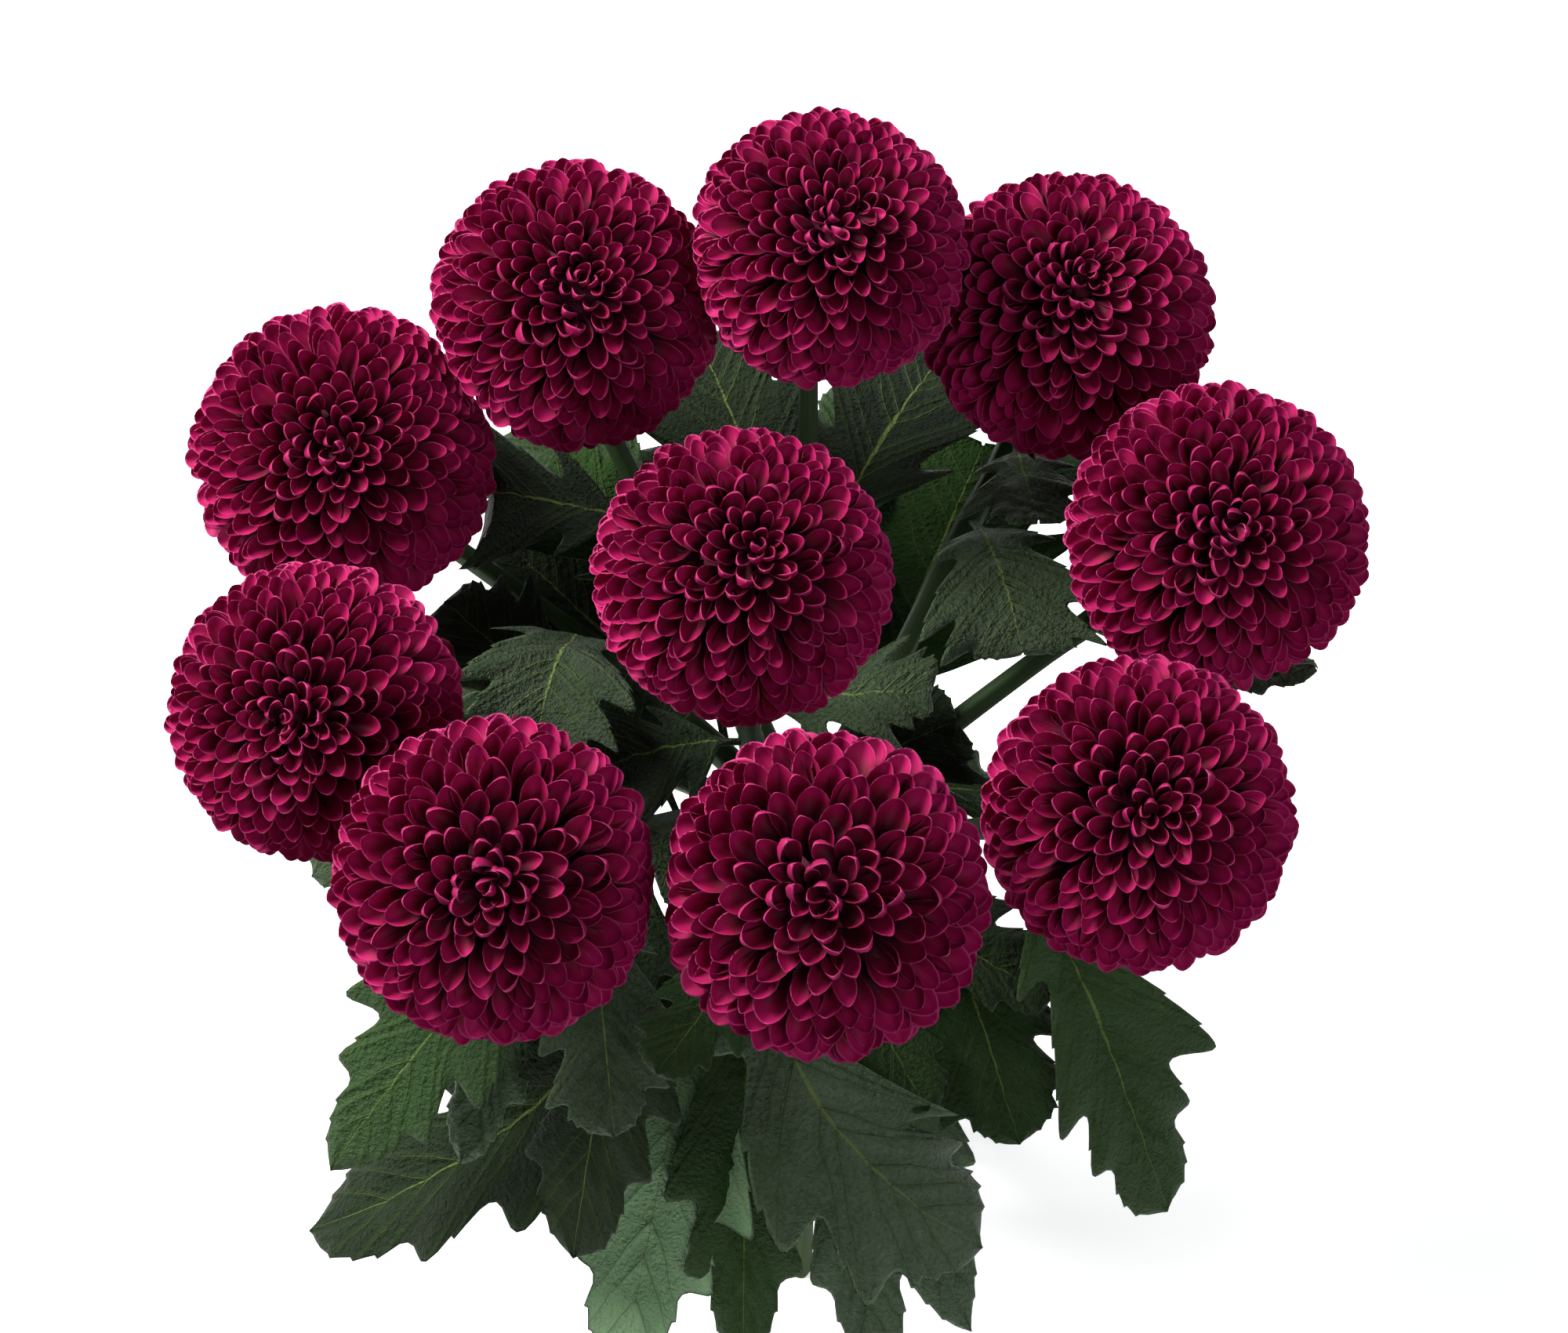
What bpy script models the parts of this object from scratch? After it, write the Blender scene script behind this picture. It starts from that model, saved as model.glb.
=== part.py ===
"""Hand-tied bunch of pompon chrysanthemums that stands on its own splayed, level-cut stems.

Lengths are in metres, +Z is up, and the origin is the centre of the middle stem's cut end,
on the surface that the bunch stands on, under the middle of the whole bunch. The camera side
of the bunch is -Y.
"""

import math

import bpy
import numpy as np

MM = 0.001

# Heads: place of the middle of each flower head, its width across the petal tips, and the way it
# faces, as a lean from upright towards a compass turn (0 is +X, -90 is -Y).
# name: (x mm, y mm, height mm, width mm, lean deg, turn deg)
HEADS = {
    "right": (117, 14, 298, 81, 32, -87),
    "top_right": (82, 94, 292, 82.5, 18, -76),
    "top": (16, 86, 329, 76, 23, -74),
    "top_left": (-52, 87, 305, 80, 27, -74),
    "left_upper": (-117, 64, 268, 85, 32, -83),
    "left_lower": (-114, -40, 296, 77.5, 38, -107),
    "bottom_left": (-65, -97, 308, 81, 37, -92),
    "bottom": (14, -104, 312, 81, 31, -93),
    "right_lower": (91, -77, 306, 79, 30, -90),
    "middle": (-6, -12, 316, 78, 21, -74),
}
RING_HEADS = [name for name in HEADS if name != "middle"]

# Head build, as shares of the head's half width
CROWN = 0.84  # height of the crown over the widest plane
UNDERSIDE = 0.76  # depth of the lowest petals under it
CORE = 0.58  # how deep the petals are rooted
SEAT_DEPTH = 0.50  # depth of the flat seat that the calyx carries
SEAT_RADIUS = 12 * MM
CROWN_DIMPLE = 0.66  # height of the crown's middle, as a share of the crown
PETAL_ROWS = [4, 7, 10, 12, 13, 11, 8]
FIRST_TIP = 16  # degrees from the crown to the innermost tips
ROW_STEP = 21  # degrees between rows
SEAT_SIDES = 8

# Petal build: distances from the head's middle as shares of its half width, and angles back
# towards the crown from the row's tips
ROOT_BACK = 26
HOLLOW = 0.71  # the cup's hollow
HOLLOW_BACK = 8
RIDGE = 0.90  # where two petals of a row meet, behind the rim
RIDGE_BACK = 11
NOTCH = 0.84  # where two petals of a row meet, at the rim
NOTCH_BACK = 5
TIP_AHEAD = 4
SHOULDER = 0.30  # of the petal's width, from its middle to the shoulders of the tip
SHOULDER_DROP = 0.015
SHOULDER_BACK = 1
TURN_CHANCE = 0.09  # of the petal's width
HEIGHT_CHANCE = 0.035
LIFT_CHANCE = 2.0  # degrees

GAP = 0.3 * MM  # between pieces that touch
SQUASH_DEPTH = 6 * MM  # how deep petals give way to a neighbouring head

# Stems
TIE_HEIGHT = 165 * MM
STEM_RADIUS_FOOT = 3.9 * MM
STEM_RADIUS_TIE = 3.5 * MM
STEM_RADIUS_NECK = 2.6 * MM
NECK_HEIGHT = 280 * MM
STEM_SIDES = 7
SPLAY = 50 * MM  # how far a stem runs sideways from the tie to its foot
LEAN_OVER_TIE = 0.5  # how steeply it runs sideways just over the tie, as a share of its rise
SPIRAL_TURN = math.radians(83)  # a head stands this far round from where its stem passes the tie
ARRIVAL = 0.75  # how straight it runs into the head, as a share of the distance
CALYX_RADIUS = 11 * MM
CALYX_DEPTH = 9 * MM
CALYX_PROFILE = [(0.35, 0.50), (1.0, 1.0)]  # shares of its depth and of its radius
WAIST_RADIUS = 11.9 * MM  # of the circle on which the nine outer stems pass the tie
MIDDLE_OFFSET = 4.4 * MM  # the middle stem leans on one of them

# Tie: twine wound round the waist
TWINE_TURNS = 4
TWINE = 2.8 * MM
TWINE_GROOVE = 0.45  # depth of the twine between two turns, as a share of its thickness
TIE_SIDES = 18
ABOVE_TIE = 8 * MM  # the stems run straight through the tie up to here
STEM_OVAL = 0.3  # share of a stem's slant that widens it outwards where it crosses the tie

# Leaf outline: share of the length along the rib, and half width as a share of the widest half
# width. The blade's side veins run forward by VEIN_SLANT.
LEAF_OUTLINE = [
    (0.00, 0.05),
    (0.19, 0.06),
    (0.27, 0.66),
    (0.36, 0.40),
    (0.45, 0.64),
    (0.58, 1.00),
    (0.63, 0.58),
    (0.74, 0.76),
    (0.87, 0.46),
    (1.00, 0.06),
]
VEIN_SLANT = math.radians(32)
LEAF_FOLD = 0.22  # rise of the edges over the rib, as a share of the half width
LEAF_THICKNESS = 0.8 * MM
PETIOLE_THICKNESS = 2.0 * MM
PETIOLE_END = 0.19  # share of the length along the rib
BLADE_START = 0.30
LEAF_CLEARANCE = 2.2 * MM  # leaves bend this clear of the heads

# Leaves: stem it grows on, height of its root there, place of its tip (mm), width (mm), roll about
# its rib (deg), rise of the rib's arch and its bow to the left, as shares of its length
LEAVES = [
    ("bottom_left", 220, (-118, -103, 168), 46, -10, 0.12, 0.0),
    ("bottom_left", 186, (-129, -97, 118), 60, 0, 0.10, 0.18),
    ("bottom_left", 213, (-53, -119, 148), 50, 0, 0.16, 0.0),
    ("bottom_left", 208, (-83, -101, 168), 34, 0, 0.08, -0.06),
    ("bottom_left", 245, (-40, -112, 205), 42, 0, 0.10, 0.0),
    ("bottom_left", 205, (-46, 22, 222), 48, 0, 0.10, 0.0),
    ("bottom", 250, (-28, -110, 234), 32, 0, 0.0, 0.0),
    ("bottom", 190, (-41, -139, 110), 54, 180, 0.12, 0.0),
    ("bottom", 234, (56, -131, 177), 64, 0, 0.12, -0.22),
    ("bottom", 200, (-7, -138, 110), 42, 0, 0.10, 0.0),
    ("bottom", 224, (75, -76, 213), 38, 0, 0.05, 0.0),
    ("bottom", 214, (42, -104, 203), 34, 0, 0.08, 0.0),
    ("bottom", 195, (52, 4, 226), 52, 0, 0.10, 0.0),
    ("right_lower", 188, (31, -138, 107), 37, 0, 0.10, 0.0),
    ("right_lower", 200, (56, -127, 118), 38, 0, 0.12, -0.06),
    ("right_lower", 210, (45, -120, 155), 36, 0, 0.08, 0.0),
    ("right_lower", 242, (109, -106, 150), 52, 0, 0.12, -0.01),
    ("right_lower", 222, (67, -104, 185), 44, 0, 0.08, 0.0),
    ("left_lower", 235, (-124, -33, 205), 34, 0, 0.05, 0.0),
    ("left_lower", 212, (-92, 50, 218), 50, 0, 0.03, 0.0),
    ("left_upper", 207, (-62, -16, 244), 54, 0, 0.30, 0.0),
    ("left_upper", 188, (-31, 118, 204), 60, 0, 0.06, 0.0),
    ("top_left", 230, (-90, 66, 251), 60, 0, 0.05, 0.0),
    ("top_left", 216, (-66, 88, 228), 56, 0, 0.05, 0.0),
    ("top", 218, (-21, 131, 238), 60, 0, 0.08, 0.0),
    ("top", 230, (52, 122, 244), 64, 0, 0.10, 0.0),
    ("top_right", 197, (63, 112, 213), 80, 180, 0.0, 0.0),
    ("top_right", 240, (74, 46, 262), 40, 0, 0.0, 0.0),
    ("top_right", 228, (69, 11, 249), 54, 0, 0.15, 0.0),
    ("middle", 225, (44, 1, 244), 40, 0, 0.1, 0.0),
    ("middle", 215, (-50, -18, 232), 50, 0, 0.1, 0.0),
    ("right", 240, (146, -3, 262), 28, 0, -0.1, 0.0),
    ("right", 200, (118, 16, 150), 46, 0, 0.10, 0.0),
    ("top", 212, (26, 148, 196), 46, 0, 0.06, 0.0),
    ("top_right", 222, (107, 128, 212), 46, 0, 0.06, 0.0),
    ("top_left", 212, (-74, 130, 200), 44, 0, 0.10, 0.0),
    ("top_left", 184, (-60, 125, 142), 52, 0, 0.04, 0.0),
    ("left_upper", 200, (-110, 50, 160), 52, 0, 0.12, 0.0),
    ("left_upper", 194, (-75, 74, 213), 46, 0, 0.03, 0.0),
    ("bottom", 212, (-30, -48, 231), 39, 0, 0.08, 0.0),
]

PETAL_COLOUR = (0.30, 0.004, 0.060, 1.0)
STEM_COLOUR = (0.045, 0.095, 0.035, 1.0)
TWINE_COLOUR = (0.42, 0.30, 0.17, 1.0)
CREASE = math.radians(50)  # edges sharper than this stay creased


def unit(vector):
    return vector / np.linalg.norm(vector)


def head_centre(name):
    return np.array(HEADS[name][:3], float) * MM


def head_radius(name):
    return HEADS[name][3] / 2 * MM


def head_axis(name):
    lean, turn = (math.radians(angle) for angle in HEADS[name][4:6])
    return np.array([math.sin(lean) * math.cos(turn), math.sin(lean) * math.sin(turn), math.cos(lean)])


def frame_about(axis):
    """Two directions square to an axis, for placing a shape that was made about +Z."""
    side = unit(np.cross((0.0, 1.0, 0.0), axis))
    return side, np.cross(axis, side)


def material(name, colour, roughness):
    made = bpy.data.materials.new(name)
    made.use_nodes = True
    shader = made.node_tree.nodes["Principled BSDF"]
    shader.inputs["Base Color"].default_value = colour
    shader.inputs["Roughness"].default_value = roughness
    return made


def shade_round(made):
    made.data.shade_smooth()
    made.data.set_sharp_from_angle(angle=CREASE)


def mesh_object(name, points, faces, finish, collection=None):
    mesh = bpy.data.meshes.new(name)
    mesh.from_pydata([tuple(point) for point in points], [], faces)
    mesh.materials.append(finish)
    made = bpy.data.objects.new(name, mesh)
    (collection or bpy.context.scene.collection).objects.link(made)
    return made


# Heads

def zip_rings(first, second):
    """Triangles between two closed rings of (turn, vertex number), each in rising order of turn."""
    faces = []
    i = j = 0
    while i < len(first) or j < len(second):
        here, there = first[i % len(first)], second[j % len(second)]
        next_turn_first = first[(i + 1) % len(first)][0] + math.tau * ((i + 1) // len(first))
        next_turn_second = second[(j + 1) % len(second)][0] + math.tau * ((j + 1) // len(second))
        if j >= len(second) or (i < len(first) and next_turn_first <= next_turn_second):
            faces.append((here[1], there[1], first[(i + 1) % len(first)][1]))
            i += 1
        else:
            faces.append((here[1], there[1], second[(j + 1) % len(second)][1]))
            j += 1
    return faces


def squash_towards_neighbours(points, name):
    """Petals that would reach past the plane between two heads are pressed back, deeper ones less."""
    centre, radius = head_centre(name), head_radius(name)
    for other in HEADS:
        if other == name:
            continue
        way = head_centre(other) - centre
        distance = np.linalg.norm(way)
        limit = distance * radius / (radius + head_radius(other)) - GAP / 2
        if limit > radius + SQUASH_DEPTH:
            continue
        way /= distance
        reach = (points - centre) @ way
        start = limit - SQUASH_DEPTH
        over = np.maximum(reach - start, 0)
        pressed = SQUASH_DEPTH * (1 - np.exp(-over / SQUASH_DEPTH))
        points = points + np.outer(pressed - over, way)
    return points


def head_points(name, seed):
    """Rings of a head from the crown to the seat. Each petal row is a cup: root, hollow, then rim.

    A ring is a list of (turn, share of the half width, angle from the crown).
    """
    chance = np.random.RandomState(seed)
    rings = []
    for row, count in enumerate(PETAL_ROWS):
        tip = FIRST_TIP + ROW_STEP * row
        width = math.tau / count
        start = chance.uniform(0, width)
        root, hollow, rim = [], [], []
        for petal in range(count):
            turn = start + width * (petal + chance.uniform(-TURN_CHANCE, TURN_CHANCE))
            between = turn + width / 2
            height = 1.0 - chance.uniform(0.0, HEIGHT_CHANCE)
            lifted = tip + chance.uniform(-LIFT_CHANCE, LIFT_CHANCE)
            shoulder = (height - SHOULDER_DROP, lifted - SHOULDER_BACK)
            root += [(turn, CORE, tip - ROOT_BACK), (between, CORE, tip - ROOT_BACK)]
            hollow += [(turn, HOLLOW, lifted - HOLLOW_BACK), (between, RIDGE, tip - RIDGE_BACK)]
            rim += [
                (turn - SHOULDER * width, *shoulder),
                (turn, height, lifted + TIP_AHEAD),
                (turn + SHOULDER * width, *shoulder),
                (between, NOTCH, tip - NOTCH_BACK),
            ]
        if row:
            rings.append(root)
        rings += [hollow, rim]
    return rings


def make_head(name, number, finish):
    radius, axis, centre = head_radius(name), head_axis(name), head_centre(name)
    side, up = frame_about(axis)
    points = [np.array([0, 0, CROWN * CROWN_DIMPLE]) * radius]
    numbered = []
    for ring in head_points(name, number):
        made = []
        for turn, share, angle in ring:
            angle = math.radians(angle)
            depth = CROWN if angle < math.pi / 2 else UNDERSIDE
            flat, tall = share * math.sin(angle), share * depth * math.cos(angle)
            made.append((turn, len(points)))
            points.append(radius * np.array([flat * math.cos(turn), flat * math.sin(turn), tall]))
        numbered.append(made)
    seat = []
    for step in range(SEAT_SIDES):
        turn = math.tau * step / SEAT_SIDES
        seat.append((turn, len(points)))
        points.append(
            np.array([SEAT_RADIUS * math.cos(turn), SEAT_RADIUS * math.sin(turn), -SEAT_DEPTH * radius])
        )
    numbered.append(seat)
    hub = len(points)
    points.append(np.array([0, 0, -SEAT_DEPTH * radius]))
    faces = []
    crown = numbered[0]
    for step, (_, here) in enumerate(crown):
        faces.append((0, here, crown[(step + 1) % len(crown)][1]))
    for first, second in zip(numbered, numbered[1:]):
        faces += zip_rings(first, second)
    for step, (_, here) in enumerate(seat):
        faces.append((hub, seat[(step + 1) % len(seat)][1], here))
    local = np.array(points)
    placed = centre + local @ np.array([side, up, axis])
    placed = squash_towards_neighbours(placed, name)
    return mesh_object("bloom_" + name, placed, faces, finish)


# Stems

def waist_turn(name):
    """Turn at which a ring stem passes the tie: the nine are evenly spaced."""
    return math.tau / len(RING_HEADS) * RING_HEADS.index(name) - SPIRAL_TURN


def stem_curve(name, lower_steps=2, upper_steps=7):
    """Centre line from the cut end, straight through the tie and then curving into the head's axis."""
    if name == "middle":
        foot = np.zeros(3)
        turn = waist_turn("left_lower")
        waist = np.array([MIDDLE_OFFSET * math.cos(turn), MIDDLE_OFFSET * math.sin(turn), TIE_HEIGHT])
        leave = unit(waist)
    else:
        turn = waist_turn(name)
        outward = np.array([math.cos(turn), math.sin(turn), 0])
        along = np.array([-math.sin(turn), math.cos(turn), 0])
        foot = WAIST_RADIUS * outward - SPLAY * along
        waist = WAIST_RADIUS * outward + np.array([0, 0, TIE_HEIGHT])
        leave = unit(np.array([0, 0, 1]) + LEAN_OVER_TIE * along)
    start = foot + (waist - foot) * (1 + ABOVE_TIE / TIE_HEIGHT)
    axis = head_axis(name)
    neck = head_centre(name) - axis * (SEAT_DEPTH * head_radius(name) + GAP + CALYX_DEPTH)
    reach = np.linalg.norm(neck - start)
    leave, arrive = leave * reach, axis * reach * ARRIVAL
    points = [foot + (start - foot) * step / lower_steps for step in range(lower_steps)]
    for step in range(upper_steps + 1):
        t = step / upper_steps
        points.append(
            (2 * t**3 - 3 * t**2 + 1) * start
            + (t**3 - 2 * t**2 + t) * leave
            + (3 * t**2 - 2 * t**3) * neck
            + (t**3 - t**2) * arrive
        )
    return np.array(points)


def stem_radius(height):
    """The stem tapers from its foot past the tie to the neck."""
    return np.interp(
        height, [0, TIE_HEIGHT, NECK_HEIGHT], [STEM_RADIUS_FOOT, STEM_RADIUS_TIE, STEM_RADIUS_NECK]
    )


def tangents(points):
    ahead = np.diff(points, axis=0)
    ahead /= np.linalg.norm(ahead, axis=1)[:, None]
    middle = ahead[:-1] + ahead[1:]
    middle /= np.linalg.norm(middle, axis=1)[:, None]
    return np.vstack([ahead[:1], middle, ahead[-1:]])


def make_stem(name, finish, collection):
    line = stem_curve(name)
    ahead = tangents(line)
    ahead[-1] = head_axis(name)
    rings = [(point, way, stem_radius(point[2])) for point, way in zip(line, ahead)]
    for depth, swell in CALYX_PROFILE:
        rings.append((line[-1] + ahead[-1] * CALYX_DEPTH * depth, ahead[-1], CALYX_RADIUS * swell))
    points, faces = [], []
    side = unit(np.cross((0.0, 1.0, 0.0), rings[0][1]))
    for number, (centre, way, radius) in enumerate(rings):
        side = unit(side - way * (side @ way))
        over = np.cross(way, side)
        for step in range(STEM_SIDES):
            turn = math.tau * step / STEM_SIDES
            point = centre + radius * (math.cos(turn) * side + math.sin(turn) * over)
            if number == 0:
                point = point - way * point[2] / way[2]  # the cut is level
            points.append(point)
    for number in range(len(rings) - 1):
        for step in range(STEM_SIDES):
            a = number * STEM_SIDES + step
            b = number * STEM_SIDES + (step + 1) % STEM_SIDES
            faces.append((a, b, b + STEM_SIDES, a + STEM_SIDES))
    faces.append(tuple(reversed(range(STEM_SIDES))))
    faces.append(tuple(range(len(points) - STEM_SIDES, len(points))))
    return mesh_object("leafy_stem_" + name, points, faces, finish, collection)


# Leaves

def point_on_stem(name, height):
    line = stem_curve(name)
    return np.array([np.interp(height, line[:, 2], line[:, k]) for k in range(3)])


def bend_clear_of_heads(points):
    """Moves points that would enter a head straight out of it, with a clearance."""
    for name in HEADS:
        away = points - head_centre(name)
        distance = np.linalg.norm(away, axis=1)
        least = head_radius(name) + LEAF_CLEARANCE
        push = np.maximum(least - distance, 0) / np.maximum(distance, 1e-9)
        points = points + away * push[:, None]
    return points


def leaf_rib(root, tip, arch, bow):
    """Rib of a leaf as points at the outline's stations: it rises from the root and droops to the tip."""
    chord = tip - root
    reach = np.linalg.norm(chord)
    left = unit(np.array([-chord[1], chord[0], 0]))
    control = root + 0.5 * chord + reach * 2 * (left * bow + np.array([0, 0, arch]))
    t = np.array([share for share, _ in LEAF_OUTLINE])[:, None]
    return (1 - t) ** 2 * root + 2 * t * (1 - t) * control + t**2 * tip


def make_leaf(name, stem, height, tip, width, roll, arch, bow, finish, collection):
    """A thin closed blade: rib and two lobed edges, over and under, folded up a little along the rib."""
    root = point_on_stem(stem, height * MM)
    tip = np.array(tip, float) * MM
    rib = leaf_rib(root, tip, arch, bow)
    ahead = tangents(rib)
    over = np.array([0.0, 0.0, 1.0]) - ahead * ahead[:, 2:3]
    over /= np.linalg.norm(over, axis=1)[:, None]
    across = np.cross(ahead, over)
    turn = math.radians(roll)
    over, across = (
        over * math.cos(turn) + across * math.sin(turn),
        across * math.cos(turn) - over * math.sin(turn),
    )
    half = np.array([share for _, share in LEAF_OUTLINE])[:, None] * width / 2 * MM
    slanted = half * math.tan(VEIN_SLANT)
    edges = []
    for hand in (-1, 1):
        edges.append(rib + across * half * hand + ahead * slanted + over * half * LEAF_FOLD)
    rows = np.stack([edges[0], rib, edges[1]], axis=1)
    thick = np.interp(
        [share for share, _ in LEAF_OUTLINE], [PETIOLE_END, BLADE_START], [PETIOLE_THICKNESS, LEAF_THICKNESS]
    )[:, None, None]
    stations = len(LEAF_OUTLINE)
    middle = bend_clear_of_heads(rows.reshape(-1, 3)).reshape(rows.shape)
    top, bottom = middle + over[:, None] * thick / 2, middle - over[:, None] * thick / 2
    points = np.concatenate([top.reshape(-1, 3), bottom.reshape(-1, 3)])
    below = stations * 3
    faces = []
    for station in range(stations - 1):
        a = station * 3
        for column in (0, 1):
            p, q, r, s = a + column, a + column + 1, a + column + 4, a + column + 3
            if column:
                pair = [(p, q, s), (q, r, s)]
            else:
                pair = [(p, q, r), (p, r, s)]
            faces += pair
            faces += [tuple(number + below for number in reversed(face)) for face in pair]
        for column, flip in ((0, False), (2, True)):
            p, s = a + column, a + column + 3
            wall = (p, s, s + below, p + below)
            faces.append(tuple(reversed(wall)) if flip else wall)
    for a, flip in ((0, False), ((stations - 1) * 3, True)):
        for column in (0, 1):
            wall = (a + column, a + column + below, a + column + 1 + below, a + column + 1)
            faces.append(tuple(reversed(wall)) if flip else wall)
    return mesh_object(name, points, faces, finish, collection)


def make_leafy_stem(name, finish):
    """A stem with its calyx, joined with the leaves that grow on it."""
    stem = make_stem(name, finish, None)
    grown = bpy.data.collections.new("leaves of " + name)
    bpy.context.scene.collection.children.link(grown)
    for number, (on_stem, *leaf) in enumerate(LEAVES):
        if on_stem == name:
            make_leaf(f"leaf_{number}", name, *leaf, finish, grown)
    if grown.objects:
        join = stem.modifiers.new("join leaves", "BOOLEAN")
        join.operation = "UNION"
        join.operand_type = "COLLECTION"
        join.collection = grown
        join.solver = "MANIFOLD"  # the exact solver leaves a sliver where two blades cross
        bpy.context.view_layer.objects.active = stem
        bpy.ops.object.modifier_apply(modifier=join.name)
    for leaf in list(grown.objects):
        bpy.data.objects.remove(leaf)
    bpy.data.collections.remove(grown)
    return stem


# Tie

def waist_clearance(height):
    """Radius that the ring stems fill at a height over or under the tie's middle."""
    lean = SPLAY / TIE_HEIGHT
    centre_line = math.hypot(WAIST_RADIUS, height * lean)
    return centre_line + STEM_RADIUS_TIE * math.hypot(1, lean * STEM_OVAL)


def make_tie(finish):
    """Turns of twine as one ribbed ring that hugs the waist of the bunch."""
    half = TWINE_TURNS * TWINE / 2
    profile = []
    for step in range(2 * TWINE_TURNS + 1):
        height = -half + step * TWINE / 2
        depth = TWINE if step % 2 else TWINE * TWINE_GROOVE
        profile.append((waist_clearance(height) + 2 * GAP + depth, height))
    for height in (half, 0.0, -half):
        profile.append((waist_clearance(height) + 2 * GAP, height))
    points, faces = [], []
    for step in range(TIE_SIDES):
        turn = math.tau * step / TIE_SIDES
        for radius, height in profile:
            points.append((radius * math.cos(turn), radius * math.sin(turn), TIE_HEIGHT + height))
    count = len(profile)
    for step in range(TIE_SIDES):
        for k in range(count):
            a, b = step * count + k, step * count + (k + 1) % count
            c, d = ((step + 1) % TIE_SIDES) * count + (k + 1) % count, ((step + 1) % TIE_SIDES) * count + k
            faces.append((a, d, c, b))
    return mesh_object("twine_tie", points, faces, finish)


def main():
    for leftover in list(bpy.data.objects):
        bpy.data.objects.remove(leftover)
    petal = material("petal", PETAL_COLOUR, 0.6)
    green = material("greenery", STEM_COLOUR, 0.55)
    twine = material("twine", TWINE_COLOUR, 0.9)
    for number, name in enumerate(HEADS):
        shade_round(make_head(name, number + 1, petal))
        shade_round(make_leafy_stem(name, green))
    shade_round(make_tie(twine))


main()
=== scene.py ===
"""Looks of a hand-tied bunch of pompon chrysanthemums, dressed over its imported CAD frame.

Lengths are in metres and +Z is up. Heads, stems and leaves stand where the CAD puts them, so the
driving dimensions below repeat the part's own. Every floret, leaf blade, stem and strand of twine is
a surface worked out on a grid of two parameters.
"""

import math

import bpy
import numpy as np
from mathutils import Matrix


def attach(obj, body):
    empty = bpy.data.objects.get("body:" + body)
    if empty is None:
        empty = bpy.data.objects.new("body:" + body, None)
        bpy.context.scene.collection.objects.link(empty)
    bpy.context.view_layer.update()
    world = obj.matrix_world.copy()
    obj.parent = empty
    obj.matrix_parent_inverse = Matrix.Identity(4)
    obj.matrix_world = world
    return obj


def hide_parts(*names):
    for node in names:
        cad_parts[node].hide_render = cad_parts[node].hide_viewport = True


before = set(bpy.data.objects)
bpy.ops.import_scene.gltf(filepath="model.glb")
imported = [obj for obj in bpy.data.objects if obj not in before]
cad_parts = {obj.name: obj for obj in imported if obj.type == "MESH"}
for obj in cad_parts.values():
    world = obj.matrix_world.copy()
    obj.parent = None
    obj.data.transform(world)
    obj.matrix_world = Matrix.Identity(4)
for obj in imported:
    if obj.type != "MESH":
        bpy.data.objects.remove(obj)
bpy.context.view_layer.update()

MM = 0.001
GOLDEN_ANGLE = math.pi * (3 - math.sqrt(5))

# Heads: middle (mm), width across the floret tips (mm), lean from upright and compass turn (deg),
# and coarseness of the florets: the lower heads are further open than the upper ones
HEADS = {
    "right": (117, 14, 298, 81, 32, -87, 0.88),
    "top_right": (82, 94, 292, 82.5, 18, -76, 0.88),
    "top": (16, 86, 329, 76, 23, -74, 0.88),
    "top_left": (-52, 87, 305, 80, 27, -74, 0.87),
    "left_upper": (-117, 64, 268, 85, 32, -83, 0.86),
    "left_lower": (-114, -40, 296, 77.5, 38, -107, 0.88),
    "bottom_left": (-65, -97, 308, 81, 37, -92, 0.97),
    "bottom": (14, -104, 312, 81, 31, -93, 1.03),
    "right_lower": (91, -77, 306, 79, 30, -90, 0.94),
    "middle": (-6, -12, 316, 78, 21, -74, 0.91),
}
RING_HEADS = [name for name in HEADS if name != "middle"]
# A ball is flattened to these shares of its radius, over and under its middle, to make a head
CROWN = 0.84
UNDERSIDE = 0.76
# The flat seat on the calyx: its depth under the head's middle, as a share of the radius
SEAT_DEPTH = 0.50
SEAT_RADIUS = 12 * MM
GAP = 0.3 * MM
SQUASH_DEPTH = 6 * MM  # of the press that flattens two heads where they meet

# Florets: distance between neighbours as a share of the head's half width, by angle from the crown
PITCH_ANGLES = [0, 12, 35, 95, 125, 150]
PITCHES = [0.108, 0.135, 0.176, 0.174, 0.206, 0.240]
LAST_FLORET = 146

# Florets: places from root to tip and from rim to rim, and where along it one is widest
FLORET_ALONG = np.array([0.0, 0.40, 0.62, 0.78, 0.885, 0.955, 0.989, 1.0])
FLORET_ACROSS = np.array([-1.0, -0.88, -0.48, 0.0, 0.48, 0.88, 1.0])
FLORET_WIDEST = 0.66
FLORET_ANGLES = [0, 12, 32, 60, 100, 146]  # from the crown, in degrees, for the sizes by angle
FLORET_THICK = 0.42 * MM
RIPPLE = 0.22 * MM  # waves of a floret's edge
RIM_WIDTH = 0.28 * MM  # over which the painted highlight along the rim fades
ALONG_SCALE = 18.0  # the length of a floret, as its finish counts it for the streaks
LOT_SCALE = 40  # how far apart two florets' streaks are picked

# Bed of the florets: its reach as a share of the head's radius, by angle from the crown (deg)
BED_ANGLES = [0, 12, 32, 60]
BED_REACHES = [0.71, 0.69, 0.64, 0.60]
BED_LAST = 150
BED_ROWS = 16
BED_AROUND = 24
BED_ALONG = 9.5  # the bed has the dark finish of this place along a floret: painted shade in the gaps between the florets
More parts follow.
